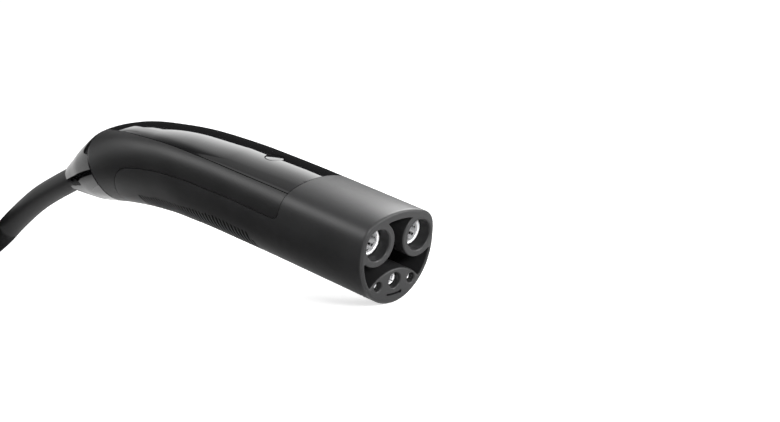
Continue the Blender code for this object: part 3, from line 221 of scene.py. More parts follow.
# %% Helpers for nodes, and one for moulded and metal finishes
def feed(tree, taker, inputs):
    """Sets a node's inputs by name or number; a value that is another node's output is linked."""
    for label, value in inputs.items():
        if isinstance(value, bpy.types.NodeSocket):
            tree.links.new(value, taker.inputs[label])
        else:
            taker.inputs[label].default_value = value


def new_node(tree, kind, inputs=None):
    made = tree.nodes.new(kind)
    feed(tree, made, inputs or {})
    return made


def new_material(name):
    made = bpy.data.materials.new(name)
    made.use_nodes = True
    return made, made.node_tree


COARSE_GRAIN, LEAST_ROUGHNESS = 60.0, 0.02


def finish(name, color, rough, grain, bump, metallic=0.0, specular=0.5, spread=0.06, tint=0.15):
    """A Principled finish: grain is the noise scale per metre, bump its depth in metres."""
    made, tree = new_material(name)
    place = new_node(tree, "ShaderNodeTexCoord").outputs["Object"]
    fine = new_node(tree, "ShaderNodeTexNoise", {"Vector": place, "Scale": grain, "Detail": 3.0})
    coarse = new_node(tree, "ShaderNodeTexNoise", {"Vector": place, "Scale": COARSE_GRAIN, "Detail": 4.0})
    patches = coarse.outputs["Fac"]
    height = fine.outputs["Fac"]
    depth = new_node(tree, "ShaderNodeBump", {"Distance": bump, "Strength": 1.0, "Height": height})
    least, most = max(rough - spread, LEAST_ROUGHNESS), rough + spread
    roughness = new_node(tree, "ShaderNodeMapRange", {"Value": patches, "To Min": least, "To Max": most})
    dark, light = ([min(c * share, 1.0) for c in color] + [1.0] for share in (1 - tint, 1 + tint))
    shades = new_node(tree, "ShaderNodeMix")
    shades.data_type = "RGBA"
    feed(tree, shades, {"Factor": patches, "A": dark, "B": light})
    feed(tree, tree.nodes["Principled BSDF"], {
        "Metallic": metallic,
        "Specular IOR Level": specular,
        "Base Color": shades.outputs["Result"],
        "Roughness": roughness.outputs["Result"],
        "Normal": depth.outputs["Normal"],
    })
    return made


# %% The plug's finishes
MATTE = finish("matte_black_shell", (0.006, 0.006, 0.0063), 0.42, 2600, 0.00002, specular=0.3)
MOULDING = finish("front_moulding_black", (0.014, 0.014, 0.0145), 0.42, 2600, 0.00002, specular=0.29)
GLOSS = finish("polished_black", (0.004, 0.004, 0.0045), 0.05, 900, 0.000001, specular=0.5, spread=0.02)
JACKET = finish("rubber_jacket", (0.008, 0.008, 0.0083), 0.5, 1800, 0.00003, specular=0.25)
SILVER = finish("silvered_copper", (0.93, 0.93, 0.94), 0.28, 3000, 0.000004, metallic=0.6, tint=0.03)
STEEL = finish("spring_steel", (0.56, 0.56, 0.57), 0.28, 3000, 0.000004, metallic=1.0, tint=0.05)
INSULATOR = finish("grey_insulator", (0.30, 0.30, 0.31), 0.5, 2400, 0.00003)
GLAND = finish("gland_nylon", (0.035, 0.035, 0.037), 0.45, 2400, 0.00003)
BOARD = finish("green_board", (0.015, 0.10, 0.045), 0.4, 1500, 0.00001)
ORANGE = finish("orange_sleeve", (0.72, 0.20, 0.03), 0.42, 1500, 0.00002)
GREEN = finish("green_sleeve", (0.04, 0.30, 0.07), 0.42, 1500, 0.00002)
GREY = finish("grey_sleeve", (0.33, 0.33, 0.34), 0.42, 1500, 0.00002)
BAND = finish("woven_band", (0.018, 0.018, 0.019), 0.7, 1400, 0.0001)
print("finishes:", len(bpy.data.materials))

# %% [markdown]
# ## Finishes on the parts that stay
# Springs, screws, the board and the wires inside have the right shape already. They only take a finish,
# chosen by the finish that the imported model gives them.

# %% Dress the parts that stay
BY_SLOT = {
    "matte_shell": MATTE,
    "front_moulding": MOULDING,
    "gloss_cover": GLOSS,
    "cable_jacket": JACKET,
    "silvered_copper": SILVER,
    "steel": STEEL,
    "insulator": INSULATOR,
    "circuit_board": BOARD,
    "orange_insulation": ORANGE,
    "green_insulation": GREEN,
    "grey_insulation": GREY,
}
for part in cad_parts.values():
    for i, old in enumerate(part.data.materials):
        key = next((key for key in BY_SLOT if old and old.name.startswith(key)), None)
        if key is None:
            print("no finish for", part.name, old and old.name)
        else:
            part.data.materials[i] = BY_SLOT[key]

# %% [markdown]
# ## The cable and its coil
# The real cable is stiff, rubber-jacketed and 12.5 mm thick, and nearly five metres long. It leaves the
# rear cap, sinks to the floor under its own weight and runs out of the picture. The rest is wound as for
# storage: a long coil of two straight runs and two half turns, two turns wide and four high.

# %% The line that the cable follows
THICK = 12.5
CABLE_RADIUS = THICK / 2 * mm
COIL_X, COIL_Y, COIL_RUN = -240.0, -50.0, 150.0
OUTER_TURN, INNER_TURN = 50.0, 37.5
COIL_LOW, ROUTE_STEP = 7.75, 4.0
FOLD = math.pi * OUTER_TURN
ROUND = 2 * (COIL_RUN + FOLD)


def smooth_step(value):
    value = np.clip(value, 0.0, 1.0)
    return value * value * (3 - 2 * value)


def through(knots, spacing):
    """Points on one smooth curve through the knots, about evenly spaced."""
    knots = np.array(knots, float)
    ends = np.vstack([2 * knots[0] - knots[1], knots, 2 * knots[-1] - knots[-2]])
    found = []
    for a, b, c, d in zip(ends, ends[1:], ends[2:], ends[3:]):
        count = max(2, int(np.ceil(np.linalg.norm(c - b) / spacing)))
        for t in np.arange(count) / count:
            bend = (2 * a - 5 * b + 4 * c - d) * t**2 + (3 * b - a - 3 * c + d) * t**3
            found.append(0.5 * (2 * b + (c - a) * t + bend))
    return np.array(found + [knots[-1]])


def round_the_coil(way, radius):
    """Plan place of a turn: out along the near side, round the far fold, back, and round the near fold."""
    if way < COIL_RUN:
        return COIL_X - way, COIL_Y + radius
    if way < COIL_RUN + FOLD:
        angle = math.pi / 2 + (way - COIL_RUN) / OUTER_TURN
        return COIL_X - COIL_RUN + radius * math.cos(angle), COIL_Y + radius * math.sin(angle)
    if way < 2 * COIL_RUN + FOLD:
        return COIL_X - COIL_RUN + (way - COIL_RUN - FOLD), COIL_Y - radius
    angle = -math.pi / 2 + (way - 2 * COIL_RUN - FOLD) / OUTER_TURN
    return COIL_X + radius * math.cos(angle), COIL_Y + radius * math.sin(angle)


# %% [markdown]
# Each turn lies in a slot beside or on the one before: outer, inner, then up a layer, inner, outer and so
# on, as hands wind a cable. The move from slot to slot takes 90 mm, and each turn makes it 27 mm earlier
# than the last, so the turns never run through each other.

# %% Wind the eight turns
COIL_LAYERS = [(OUTER_TURN, 0), (INNER_TURN, 0), (INNER_TURN, 1), (OUTER_TURN, 1), (OUTER_TURN, 2)]
COIL_LAYERS += [(INNER_TURN, 2), (INNER_TURN, 3), (OUTER_TURN, 3), (OUTER_TURN, 4)]
TOP_LAYER, TOP_GAP = 4, 0.3
SLOTS = []
for radius, layer in COIL_LAYERS:
    SLOTS.append((radius, COIL_LOW + THICK * layer + TOP_GAP * (layer == TOP_LAYER)))
MOVE_START, MOVE_LENGTH, MOVE_EARLIER = 524.0, 90.0, 27.0
WAY_TO_TAIL = 7 * ROUND + 2 * COIL_RUN + 1.5 * FOLD


def coil_points():
    points = []
    for way in np.linspace(0.0, WAY_TO_TAIL, round(WAY_TO_TAIL / ROUTE_STEP))[:-1]:
        lap = int(way // ROUND)
        move = smooth_step((way - lap * ROUND - MOVE_START + MOVE_EARLIER * lap) / MOVE_LENGTH)
        (radius, height), (next_radius, next_height) = SLOTS[lap], SLOTS[lap + 1]
        x, y = round_the_coil(way - lap * ROUND, radius + (next_radius - radius) * move)
        points.append((x, y, height + (next_height - height) * move))
    return np.array(points)


CABLE_OUT = [(-87.09, 60.15), (-95.74, 57.61), (-105.33, 54.77), (-114.92, 51.93)]
CABLE_OUT += [(-147.2, 40.6), (-171.4, 28.4), (-189.3, 17.7), (-206.0, 9.9), (-218.0, 7.6), (-231.0, 7.75)]
to_coil = through([(x, 0.0, z) for x, z in CABLE_OUT] + [(COIL_X, 0.0, COIL_LOW)], ROUTE_STEP)

TAIL_HIGH, FAR_Y, GLAND_X, GLAND_HIGH = SLOTS[-1][1], -6.25, -275.0, 64.8
tail_knots = []
for quarter in range(5):
    angle = math.pi / 8 * quarter
    radius = OUTER_TURN + (FAR_Y - COIL_Y - OUTER_TURN) * smooth_step(quarter / 4)
    tail_knots.append((COIL_X + radius * math.cos(angle), COIL_Y + radius * math.sin(angle), TAIL_HIGH))
tail_knots[-1] = (COIL_X, FAR_Y, TAIL_HIGH + 0.675)
tail_knots += [(-257.5, FAR_Y, 62.1), (GLAND_X, FAR_Y, GLAND_HIGH), (-288.0, FAR_Y, GLAND_HIGH)]
tail_knots += [(-301.0, FAR_Y, GLAND_HIGH)]

cable_line = np.vstack([to_coil[:-1], coil_points(), through(tail_knots, ROUTE_STEP)]) * mm
cable_length = np.linalg.norm(np.diff(cable_line, axis=0), axis=1).sum()
print("cable", round(cable_length, 3), "m in", len(cable_line), "points")

# %% [markdown]
# A round section is swept along that line. At each point the section's frame is carried on from the last
# one with no twist of its own, which keeps the faces square even where the line turns in two directions.

# %% Sweep the cable
def swept(name, line, radius, sides=20):
    """A closed round tube along a line of points."""
    line = np.asarray(line, float)
    ahead = np.gradient(line, axis=0)
    ahead /= np.linalg.norm(ahead, axis=1)[:, None]
    side = np.cross(ahead[0], (0.0, 0.0, 1.0))
    sides_of = []
    for direction in ahead:
        side = side - direction * side.dot(direction)
        side /= np.linalg.norm(side)
        sides_of.append(side)
    across = np.array(sides_of)
    above = np.cross(ahead, across)
    angle = circle(sides)[None, :, None]
    rings = line[:, None] + radius * (np.cos(angle) * across[:, None] + np.sin(angle) * above[:, None])
    return lofted(name, rings)


HERE = Matrix.Identity(4)
charging_cable = piece(
    "charging_cable", swept("charging_cable", cable_line, CABLE_RADIUS), JACKET,
    ("cable", "cable_coil", "cable_tail"), place=HERE,
)

# %% [markdown]
# ## The skin of the handle
# One rule gives the whole handle. Along a bent spine stand ten stations, each with its distance, a half
# width, a height over the spine, a depth under it, a roundness and the height of its widest place. A smooth
# curve runs through each column of the table. The section is straight-sided with a gently arched roof at
# the nose and turns into an oval at the cable. A rule is better than pushing points about: every housing
# below is cut from the same skin, so they fit.

# %% Stations and spine
STATIONS = np.array([
    [0, 23.0, 13.8, 30.4, 0.0, -4.4],
    [60, 23.0, 13.8, 30.4, 0.0, -4.4],
    [98, 22.6, 13.2, 30.9, 0.0, -4.2],
    [125, 22.2, 12.3, 31.3, 0.1, -3.8],
    [150, 21.2, 13.2, 29.7, 0.4, -2.0],
    [175, 20.0, 15.7, 26.1, 0.7, -0.5],
    [198, 18.0, 16.9, 20.9, 1.0, 0.8],
    [212, 15.5, 14.4, 16.6, 1.0, 1.2],
    [225, 11.0, 11.1, 10.7, 1.0, 1.5],
    [235, 7.3, 8.8, 5.8, 1.0, 1.5],
]) * [mm, mm, mm, mm, 1, mm]
BEND_START, BEND_END, BEND_RAMP = 100 * mm, 216 * mm, 30 * mm
BEND_ANGLE = math.radians(32.5)
ROOF_RADIUS = 47 * mm
SIDE_RISE = 60 * mm
CORNER_SHARPNESS = 10
SPINE_STEPS = 245
RING_POINTS, COVER_POINTS, TOOL_POINTS = 180, 120, 60

middles = (np.arange(SPINE_STEPS) + 0.5) * mm
bend = smooth_step((middles - BEND_START) / BEND_RAMP) * smooth_step((BEND_END - middles) / BEND_RAMP)
bend *= BEND_ANGLE / bend.sum()
SLOPE = np.concatenate([[0.0], np.cumsum(bend)])
halfway = SLOPE[:-1] + bend / 2
SPINE_X = np.concatenate([[0.0], -np.cumsum(np.cos(halfway)) * mm])
SPINE_Z = np.concatenate([[0.0], -np.cumsum(np.sin(halfway)) * mm])
print("the spine ends at", round(SPINE_X[-1], 4), round(SPINE_Z[-1], 4))


# %% Points of the skin
def column(distance, which):
    """A smooth curve through one column of the stations, never past its neighbours' values."""
    where, value = STATIONS[:, 0], STATIONS[:, which]
    rise = np.diff(value) / np.diff(where)
    before, after = rise[:-1], rise[1:]
    same_way = before * after > 0
    inner = np.zeros(len(before))
    inner[same_way] = 2 * before[same_way] * after[same_way] / (before + after)[same_way]
    tangent = np.concatenate([rise[:1], inner, rise[-1:]])
    distance = np.clip(distance, where[0], where[-1])
    i = np.clip(np.searchsorted(where, distance) - 1, 0, len(where) - 2)
    span = where[i + 1] - where[i]
    u = (distance - where[i]) / span
    start = (2 * u**3 - 3 * u**2 + 1) * value[i] + (u**3 - 2 * u**2 + u) * span * tangent[i]
    return start + (3 * u**2 - 2 * u**3) * value[i + 1] + (u**3 - u**2) * span * tangent[i + 1]


def on_spine(distance, across, above):
    """Points given along, across and square to the spine."""
    distance = np.asarray(distance, float)
    place = np.clip(distance / mm, 0, len(SLOPE) - 1)
    x, z, slope = (np.interp(place, np.arange(len(SLOPE)), c) for c in (SPINE_X, SPINE_Z, SLOPE))
    beyond = distance - place * mm
    x, z = x - np.cos(slope) * beyond, z - np.sin(slope) * beyond
    return np.stack(np.broadcast_arrays(x - above * np.sin(slope), across, z + above * np.cos(slope)), -1)


def section(angle, width, top, bottom, roundness, widest):
    """(across, above) of the handle's section: straight sides under an arched roof, an oval, or between."""
    side, up = np.sin(angle), np.cos(angle)
    wall = 1 / np.hypot(side / width, up / np.where(up > 0, SIDE_RISE, bottom + widest))
    drop = widest - (top - ROOF_RADIUS)
    roof = np.sqrt((drop * up) ** 2 - drop**2 + ROOF_RADIUS**2) - drop * up
    barrel = (wall**-CORNER_SHARPNESS + roof**-CORNER_SHARPNESS) ** (-1 / CORNER_SHARPNESS)
    oval = 1 / np.hypot(side / width, up / np.where(up > 0, top - widest, bottom + widest))
    radius = (1 - roundness) * barrel + roundness * oval
    return radius * side, widest + radius * up


def skin(distance, inset=0.0, count=RING_POINTS):
    """Rings of the handle's skin at these distances along the spine, drawn in by an inset."""
    distance = np.atleast_1d(np.asarray(distance, float))[:, None]
    inset = np.broadcast_to(np.atleast_1d(inset)[:, None], distance.shape)
    angle = circle(count)[None, :]
    width, top, bottom, roundness, widest = (column(distance, c) for c in range(1, 6))
    across, above = section(angle, width - inset, top - inset, bottom - inset, roundness, widest)
    return on_spine(distance, across, above)


def stops(start, *stretches):
    """Distances from a start through stretches of (end, longest step), each evenly divided."""
    found = [start]
    for end, longest in stretches:
        count = max(1, math.ceil((end - found[-1]) / longest - 1e-6))
        found += list(np.linspace(found[-1], end, count + 1)[1:])
    return found


# %% [markdown]
# ## Ribs under the grip
# On the real plug a field of fine cross ribs under the nose stops the hand from slipping. They repeat, so
# Geometry Nodes make them: each point of the skin knows how far along the handle it lies, and the tree
# pushes it inwards wherever that distance falls in a slot. Two rings stand close together at each edge of
# a slot, which makes its walls steep.

# %% The outer form, with rings where the ribs need them
GAP = 0.3 * mm
NOSE_FILLET = 1.5 * mm
BARREL_END, RIBS_NEAR, CAP_JOINT, CAP_END = 60 * mm, 72 * mm, 198 * mm, 235 * mm
RIB_START, RIB_PITCH, RIB_COUNT = 74 * mm, 2.62 * mm, 36
RIB_SHARE, RIB_DEPTH, RIB_HALF_WIDTH = 0.5, 1.0 * mm, 19.6 * mm
TAPER_AFTER, TAPER_PER_RIB = 9.0, 0.19 * mm
RIB_EDGE = 0.06 * mm

fillet_turn = np.linspace(0, math.pi / 2, 9)
fillet_marks = NOSE_FILLET * (1 - np.cos(fillet_turn))
marks = stops(NOSE_FILLET, (BARREL_END, 12 * mm), (RIBS_NEAR, 4 * mm))[1:]
for i in range(RIB_COUNT):
    slot_start = RIB_START + RIB_PITCH * i
    slot_end = slot_start + RIB_PITCH * RIB_SHARE
    marks += [slot_start - RIB_EDGE, slot_start + RIB_EDGE, slot_end - RIB_EDGE, slot_end + RIB_EDGE]
marks += stops(slot_start + RIB_PITCH, (CAP_JOINT - GAP / 2, 2.5 * mm))
outer_rings = np.concatenate([skin(fillet_marks, NOSE_FILLET * (1 - np.sin(fillet_turn))), skin(marks)])
outer_mesh = lofted("outer", outer_rings)
along = outer_mesh.attributes.new("along", "FLOAT", "POINT")
point_distance = np.repeat(np.concatenate([fillet_marks, marks]), RING_POINTS)
along.data.foreach_set("value", point_distance.astype(np.float32))
print("rings:", len(outer_rings), "points:", len(outer_mesh.vertices))


# %% Helpers for trees
def new_tree(name, inputs):
    """A Geometry Nodes group with geometry, its own inputs and a material, and the sockets of its input."""
    tree = bpy.data.node_groups.new(name, "GeometryNodeTree")
    for label, kind in {"Geometry": "Geometry", **inputs, "Material": "Material"}.items():
        tree.interface.new_socket(label, in_out="INPUT", socket_type="NodeSocket" + kind)
    tree.interface.new_socket("Geometry", in_out="OUTPUT", socket_type="NodeSocketGeometry")
    return tree, new_node(tree, "NodeGroupInput").outputs


def end_tree(tree, geometry, material):
    """The last nodes of a tree: real geometry, its material and the way out."""
    real = new_node(tree, "GeometryNodeRealizeInstances", {0: geometry})
    painted = new_node(tree, "GeometryNodeSetMaterial", {"Geometry": real.outputs[0], "Material": material})
    new_node(tree, "NodeGroupOutput", {0: painted.outputs[0]})


def run_tree(mesh, tree, values):
    """The mesh that the tree makes of this one; each input is set by its socket's identifier."""
    worker = in_scene("worker", mesh)
    step = worker.modifiers.new("nodes", "NODES")
    step.node_group = tree
    for item in tree.interface.items_tree:
        if item.in_out == "INPUT" and item.name in values:
            step[item.identifier] = values[item.name]
    return evaluated(worker)


def arithmetic(tree, operation, *values):
    """The result of a Math node whose inputs are numbers or other nodes' outputs."""
    made = new_node(tree, "ShaderNodeMath")
    made.operation = operation
    feed(tree, made, dict(enumerate(values)))
    return made.outputs[0]


# %% A tree that presses ribs into the skin
FACING_DOWN, LAST_SLOT_SHARE, FIRST_SLOT_LOSS = -0.2, 0.5, 4 * mm
RIB_SIZES = {
    "Start": RIB_START, "Pitch": RIB_PITCH, "Share": RIB_SHARE, "Count": float(RIB_COUNT),
    "Depth": RIB_DEPTH, "Half width": RIB_HALF_WIDTH,
    "Taper after": TAPER_AFTER, "Taper per rib": TAPER_PER_RIB,
}
ribs, given = new_tree("grip_ribs", dict.fromkeys(RIB_SIZES, "Float"))
result = partial(arithmetic, ribs)
distance = new_node(ribs, "GeometryNodeInputNamedAttribute", {"Name": "along"})
distance.data_type = "FLOAT"
position = new_node(ribs, "GeometryNodeInputPosition").outputs[0]
normal = new_node(ribs, "GeometryNodeInputNormal").outputs[0]
across = new_node(ribs, "ShaderNodeSeparateXYZ", {0: position}).outputs["Y"]
facing = new_node(ribs, "ShaderNodeSeparateXYZ", {0: normal}).outputs["Z"]
from_start = result("SUBTRACT", distance.outputs["Attribute"], given["Start"])
slots_along = result("DIVIDE", from_start, given["Pitch"])

# The first slot is shorter, and towards the rear the field narrows as the grip does.
narrow = result("MAXIMUM", result("SUBTRACT", 1.0, slots_along), 0.0)
past_taper = result("MAXIMUM", result("SUBTRACT", slots_along, given["Taper after"]), 0.0)
lost = result("MULTIPLY", past_taper, given["Taper per rib"])
lost = result("MULTIPLY_ADD", narrow, FIRST_SLOT_LOSS, lost)
half_width = result("SUBTRACT", given["Half width"], lost)

share = result("LESS_THAN", result("FRACT", slots_along), given["Share"])
for gate in (
    result("GREATER_THAN", slots_along, 0.0),
    result("LESS_THAN", slots_along, result("SUBTRACT", given["Count"], LAST_SLOT_SHARE)),
    result("LESS_THAN", facing, FACING_DOWN),
    result("LESS_THAN", result("ABSOLUTE", across), half_width),
):
    share = result("MULTIPLY", share, gate)
inward = result("MULTIPLY", result("MULTIPLY", share, given["Depth"]), -1.0)
push = new_node(ribs, "ShaderNodeVectorMath")
push.operation = "SCALE"
feed(ribs, push, {0: normal, "Scale": inward})
moved = new_node(ribs, "GeometryNodeSetPosition", {"Geometry": given["Geometry"], "Offset": push.outputs[0]})
end_tree(ribs, moved.outputs[0], given["Material"])

ribbed_mesh = run_tree(outer_mesh, ribs, {**RIB_SIZES, "Material": MOULDING})
print("ribbed skin:", len(ribbed_mesh.vertices), "points")

# %% [markdown]
# ## Tool bodies for the housings
# The two housings part along one line: down across the nose, a rounded corner, then back along the side
# and round the rear of the grip. The same outline, drawn a little smaller for one and larger for the
# other, leaves the real joint's gap of 0.3 mm between them.

# %% The parting line
PARTING_X, PARTING_RAKE, PARTING_CORNER = 53.3 * mm, math.radians(11), 4.0 * mm
LINE_RISE = 0.3 * mm
# Millimetres along the spine, and over the section's widest place there.
GRIP_LINE = [(60, 0.3), (86, 0.2), (100, -0.35), (114, -0.9), (130, -1.85), (146, -3.0), (158, -3.5)]
GRIP_LINE += [(167, -3.8), (171.5, -4.4), (175.5, -6.0), (179, -8.2), (182.5, -11.4), (185.5, -15.0)]
GRIP_LINE += [(187.8, -19.0), (189.5, -25.0), (190.5, -32.0)]
LINE_STEP = 1.5
FAR_UP, FAR_DOWN, FAR_BACK = 60 * mm, -150 * mm, -400 * mm


def upper_outline(grow):
    """Side view of the upper housing's reach; a positive grow makes it larger all round."""
    line_z = column(PARTING_X, 5) + LINE_RISE - grow
    front_x = -PARTING_X + grow + line_z * math.tan(PARTING_RAKE)
    points = [(-PARTING_X + grow + FAR_UP * math.tan(PARTING_RAKE), FAR_UP)]
    for turn in np.linspace(0, math.pi / 2 - PARTING_RAKE, 10):
        corner_x = front_x - PARTING_CORNER * (1 - math.cos(turn))
        points.append((corner_x, line_z + PARTING_CORNER * (1 - math.sin(turn))))
    line = through(GRIP_LINE, LINE_STEP) * mm
    ahead = np.gradient(line, axis=0)
    ahead /= np.linalg.norm(ahead, axis=1)[:, None]
    along = line[:, 0] + grow * ahead[:, 1]
    above = column(line[:, 0], 5) + line[:, 1] - grow * ahead[:, 0]
    tail = on_spine(line[-1, 0], 0.0, -FAR_UP)
    points += [(p[0], p[2]) for p in [*on_spine(along, 0.0, above), tail]]
    return points + [(FAR_BACK, FAR_DOWN), (FAR_BACK, FAR_UP)]


def slab(name, outline, low, high, plane):
    """A flat outline of pairs carried from low to high; the plane names the pairs' two axes."""
    across = 3 - plane[0] - plane[1]
    rings = np.zeros((2, len(outline), 3))
    rings[:, :, plane[0]], rings[:, :, plane[1]] = np.array(outline).T
    rings[:, :, across] = [[low], [high]]
    return lofted(name, rings)


WALL, NOSE_BLOCK, HALF_SLAB = 3.0 * mm, 34 * mm, 40 * mm
upper_keep = slab("upper_keep", upper_outline(-GAP / 2), -HALF_SLAB, HALF_SLAB, (0, 2))
upper_clear = slab("upper_clear", upper_outline(GAP / 2), -HALF_SLAB, HALF_SLAB, (0, 2))
inner_stops = stops(NOSE_BLOCK, (100 * mm, 20 * mm), (CAP_JOINT + 2 * mm, 6 * mm))
inner_space = lofted("inner_space", skin(inner_stops, WALL, TOOL_POINTS))
print("parting line:", len(upper_outline(0.0)), "points")

# %% [markdown]
# ## The face
# Five sockets stand in a block: two wide ones for the power contacts, one for ground and two small ones for
# the signals. Between them the block is hollowed by a cavity with three arms, which in the mould keeps the
# walls even. Its outline is the skin drawn in, less the round walls of the sockets. Such an outline has
# corners that are hard to round by hand, so a rule gives it: a smooth maximum of the distances to them all.
# A point then walks along the line where that rule is zero, and the rounded mouth follows the same walk.

# %% The outline of the cavity
PITCH, TUBE_RADIUS = 26 * mm, 10.4 * mm
CAVITY_DEPTH, CAVITY_SIDE_WALL, CAVITY_TOP_WALL = 27 * mm, 2.2 * mm, 4.1 * mm
WEB_RADIUS, WEB_TOP_Z = 21.5 * mm, -13.4 * mm
CORNER_BLEND = 0.35 * mm
MOST_POINTS, SETTLING_STEPS = 5000, 4


def cavity_rule(point):
    """Below zero inside the cavity: a smooth maximum of the drawn-in skin and the sockets' walls."""
    y, z = point
    _, width, top, bottom, _, widest = STATIONS[0]
    sizes = (width - CAVITY_SIDE_WALL, top - CAVITY_TOP_WALL, bottom - CAVITY_SIDE_WALL, 0.0, widest)
    edge = section(np.array(math.atan2(y, z - widest)), *sizes)
    skin_value = math.hypot(y, z - widest) - math.hypot(edge[0], edge[1] - widest)
    values = [
        skin_value,
        TUBE_RADIUS - math.hypot(y - PITCH / 2, z),
        TUBE_RADIUS - math.hypot(y + PITCH / 2, z),
        WEB_RADIUS - math.hypot(y, z - WEB_TOP_Z + WEB_RADIUS),
    ]
    highest = max(values)
    return highest + CORNER_BLEND * math.log(sum(math.exp((v - highest) / CORNER_BLEND) for v in values))


def slope_of(rule, point, step=0.01 * mm):
    """The unit direction in which a rule grows fastest, and how fast it grows."""
    y, z = point
    dy = (rule((y + step, z)) - rule((y - step, z))) / (2 * step)
    dz = (rule((y, z + step)) - rule((y, z - step))) / (2 * step)
    size = math.hypot(dy, dz)
    return np.array([dy, dz]) / size, size


def walk_round(rule, start, step):
    """Points and outward directions along the closed line where a rule is zero."""
    point = np.array(start, float)
    points, normals = [], []
    for _ in range(MOST_POINTS):
        for _ in range(SETTLING_STEPS):
            normal, size = slope_of(rule, point)
            point = point - normal * rule(point) / size
        normal, _ = slope_of(rule, point)
        if len(points) > 20 and np.linalg.norm(point - points[0]) < 0.75 * step:
            break
        points.append(point)
        normals.append(normal)
        point = point + step * np.array([normal[1], -normal[0]])
    return np.array(points), np.array(normals)


cavity_line, cavity_normals = walk_round(cavity_rule, (0.0, 9.0 * mm), 0.3 * mm)
print("cavity outline:", len(cavity_line), "points")


# %% Tools with a rounded mouth
FLANGE_FRONT, FLANGE_BACK, FLANGE_PROUD = 31 * mm, 33.7 * mm, 1.0 * mm
MOUTH_TURNS, SOCKET_SIDES = np.radians([12, 24, 36, 48, 60, 72, 84, 90]), 72
CAVITY_LIP, POWER_LIP, SMALL_LIP = 0.8 * mm, 1.0 * mm, 0.7 * mm


def mouth_steps(radius, depth):
    """(depth, growth) pairs of a hole with a rounded mouth, from in front of the face to the floor."""
    steps = [(-1 * mm, radius + 1 * mm)]
    steps += [(radius * (1 - math.cos(turn)), radius * (1 - math.sin(turn))) for turn in MOUTH_TURNS]
    return steps + [(depth, 0.0)]


def seated_hole(radius, lip, y, z):
    """A socket: the bore and, behind it, the wider seat of its contact's flange."""
    seat = radius + FLANGE_PROUD + GAP
    profile = [(depth, radius + grow) for depth, grow in mouth_steps(lip, FLANGE_FRONT - GAP)]
    profile += [(FLANGE_FRONT - GAP, seat), (NOSE_BLOCK + 1 * mm, seat)]
    return turned("socket", profile, SOCKET_SIDES, (y, z))


rings = []
for deep, grow in mouth_steps(CAVITY_LIP, CAVITY_DEPTH):
    edge = cavity_line + cavity_normals * grow
    rings.append(np.column_stack([np.full(len(edge), -deep), edge]))
cavity_tool = lofted("cavity", rings)

POWER_RADIUS, GROUND_RADIUS, PILOT_RADIUS = 7.05 * mm, 3.57 * mm, 2.25 * mm
GROUND_Z, PILOT_Y, PILOT_Z = -19.1 * mm, 10.5 * mm, -20.1 * mm
socket_tools = [seated_hole(POWER_RADIUS, POWER_LIP, side * PITCH / 2, 0.0) for side in (-1, 1)]
socket_tools += [seated_hole(PILOT_RADIUS, SMALL_LIP, side * PILOT_Y, PILOT_Z) for side in (-1, 1)]
socket_tools.append(seated_hole(GROUND_RADIUS, SMALL_LIP, 0.0, GROUND_Z))
print("socket tools:", len(socket_tools))

# %% [markdown]
# Under the ground socket the real face has a thin curved slot with a small round end, where water can run
# out. It is a bent slab, cut together with the five sockets, and its round end is cut after it.

# %% The drain slot, and the cuts of the front moulding
SLOT_RADIUS, SLOT_BOTTOM_Z, SLOT_HALF_LENGTH = 30 * mm, -25.6 * mm, 4.3 * mm
SLOT_WIDTH, SLOT_DEPTH, SLOT_END_RADIUS = 0.95 * mm, 2.0 * mm, 0.85 * mm
slot_centre = SLOT_BOTTOM_Z + SLOT_RADIUS
half_turn = math.asin(SLOT_HALF_LENGTH / SLOT_RADIUS)
outline = []
for radius, direction in ((SLOT_RADIUS + SLOT_WIDTH / 2, 1), (SLOT_RADIUS - SLOT_WIDTH / 2, -1)):
    for turn in np.linspace(direction * half_turn, -direction * half_turn, 15):
        outline.append((radius * math.sin(turn), slot_centre - radius * math.cos(turn)))
drain_tool = slab("drain", outline, -SLOT_DEPTH, 1 * mm, (1, 2))
end_y, end_z = SLOT_RADIUS * math.sin(half_turn), slot_centre - SLOT_RADIUS * math.cos(half_turn)
end_profile = [(-1 * mm, SLOT_END_RADIUS), (1.5 * SLOT_DEPTH, SLOT_END_RADIUS)]
drain_end_tool = turned("drain_end", end_profile, 24, (end_y, end_z))

sockets_and_slot = joined(socket_tools + [drain_tool])
front_mesh = cut(ribbed_mesh, upper_clear, inner_space, cavity_tool, sockets_and_slot, drain_end_tool)
piece("front_moulding", front_mesh, MOULDING, ("front_housing",))

# %% [markdown]
# ## The upper shell and the glossy strip
# The upper shell is the same skin kept inside the parting line. A long tongue-shaped strip of polished
# plastic is let into its top, flush with it. In plan the strip has parallel sides that close in to a
# rounded tip, which a curve a little fuller than an ellipse draws well. The shell gets a matching recess.

# %% The upper shell
COVER_START, COVER_HALF_WIDTH, COVER_LENGTH = 52 * mm, 19.4 * mm, 149 * mm
COVER_THICKNESS, COVER_LOW, COVER_HIGH = 1.5 * mm, -20 * mm, 60 * mm
BUTTON_X, BUTTON_RADIUS, BUTTON_FLANGE = 82.4 * mm, 4.5 * mm, 5.6 * mm
HOLE_TOP = 20 * mm


def cover_outline(grow):
    """Plan view of the strip."""
    u = np.sin(np.linspace(0, math.pi / 2, 61))
    across = (COVER_HALF_WIDTH + grow) * np.sqrt(np.maximum(1 - u**3, 0.0))
    back = -COVER_START - (COVER_LENGTH + grow) * u
    side = [(0.0, across[0])] + list(zip(back[:-1], across[:-1]))
    return side + [(back[-1], 0.0)] + [(x, -y) for x, y in reversed(side)]


def button_hole(radius):
    """An upright rod that makes room for the button, with the joint's gap round it."""
    profile = [(0.0, radius + GAP), (HOLE_TOP, radius + GAP)]
    return turned("hole", profile, centre=(-BUTTON_X, 0.0), upright=True)


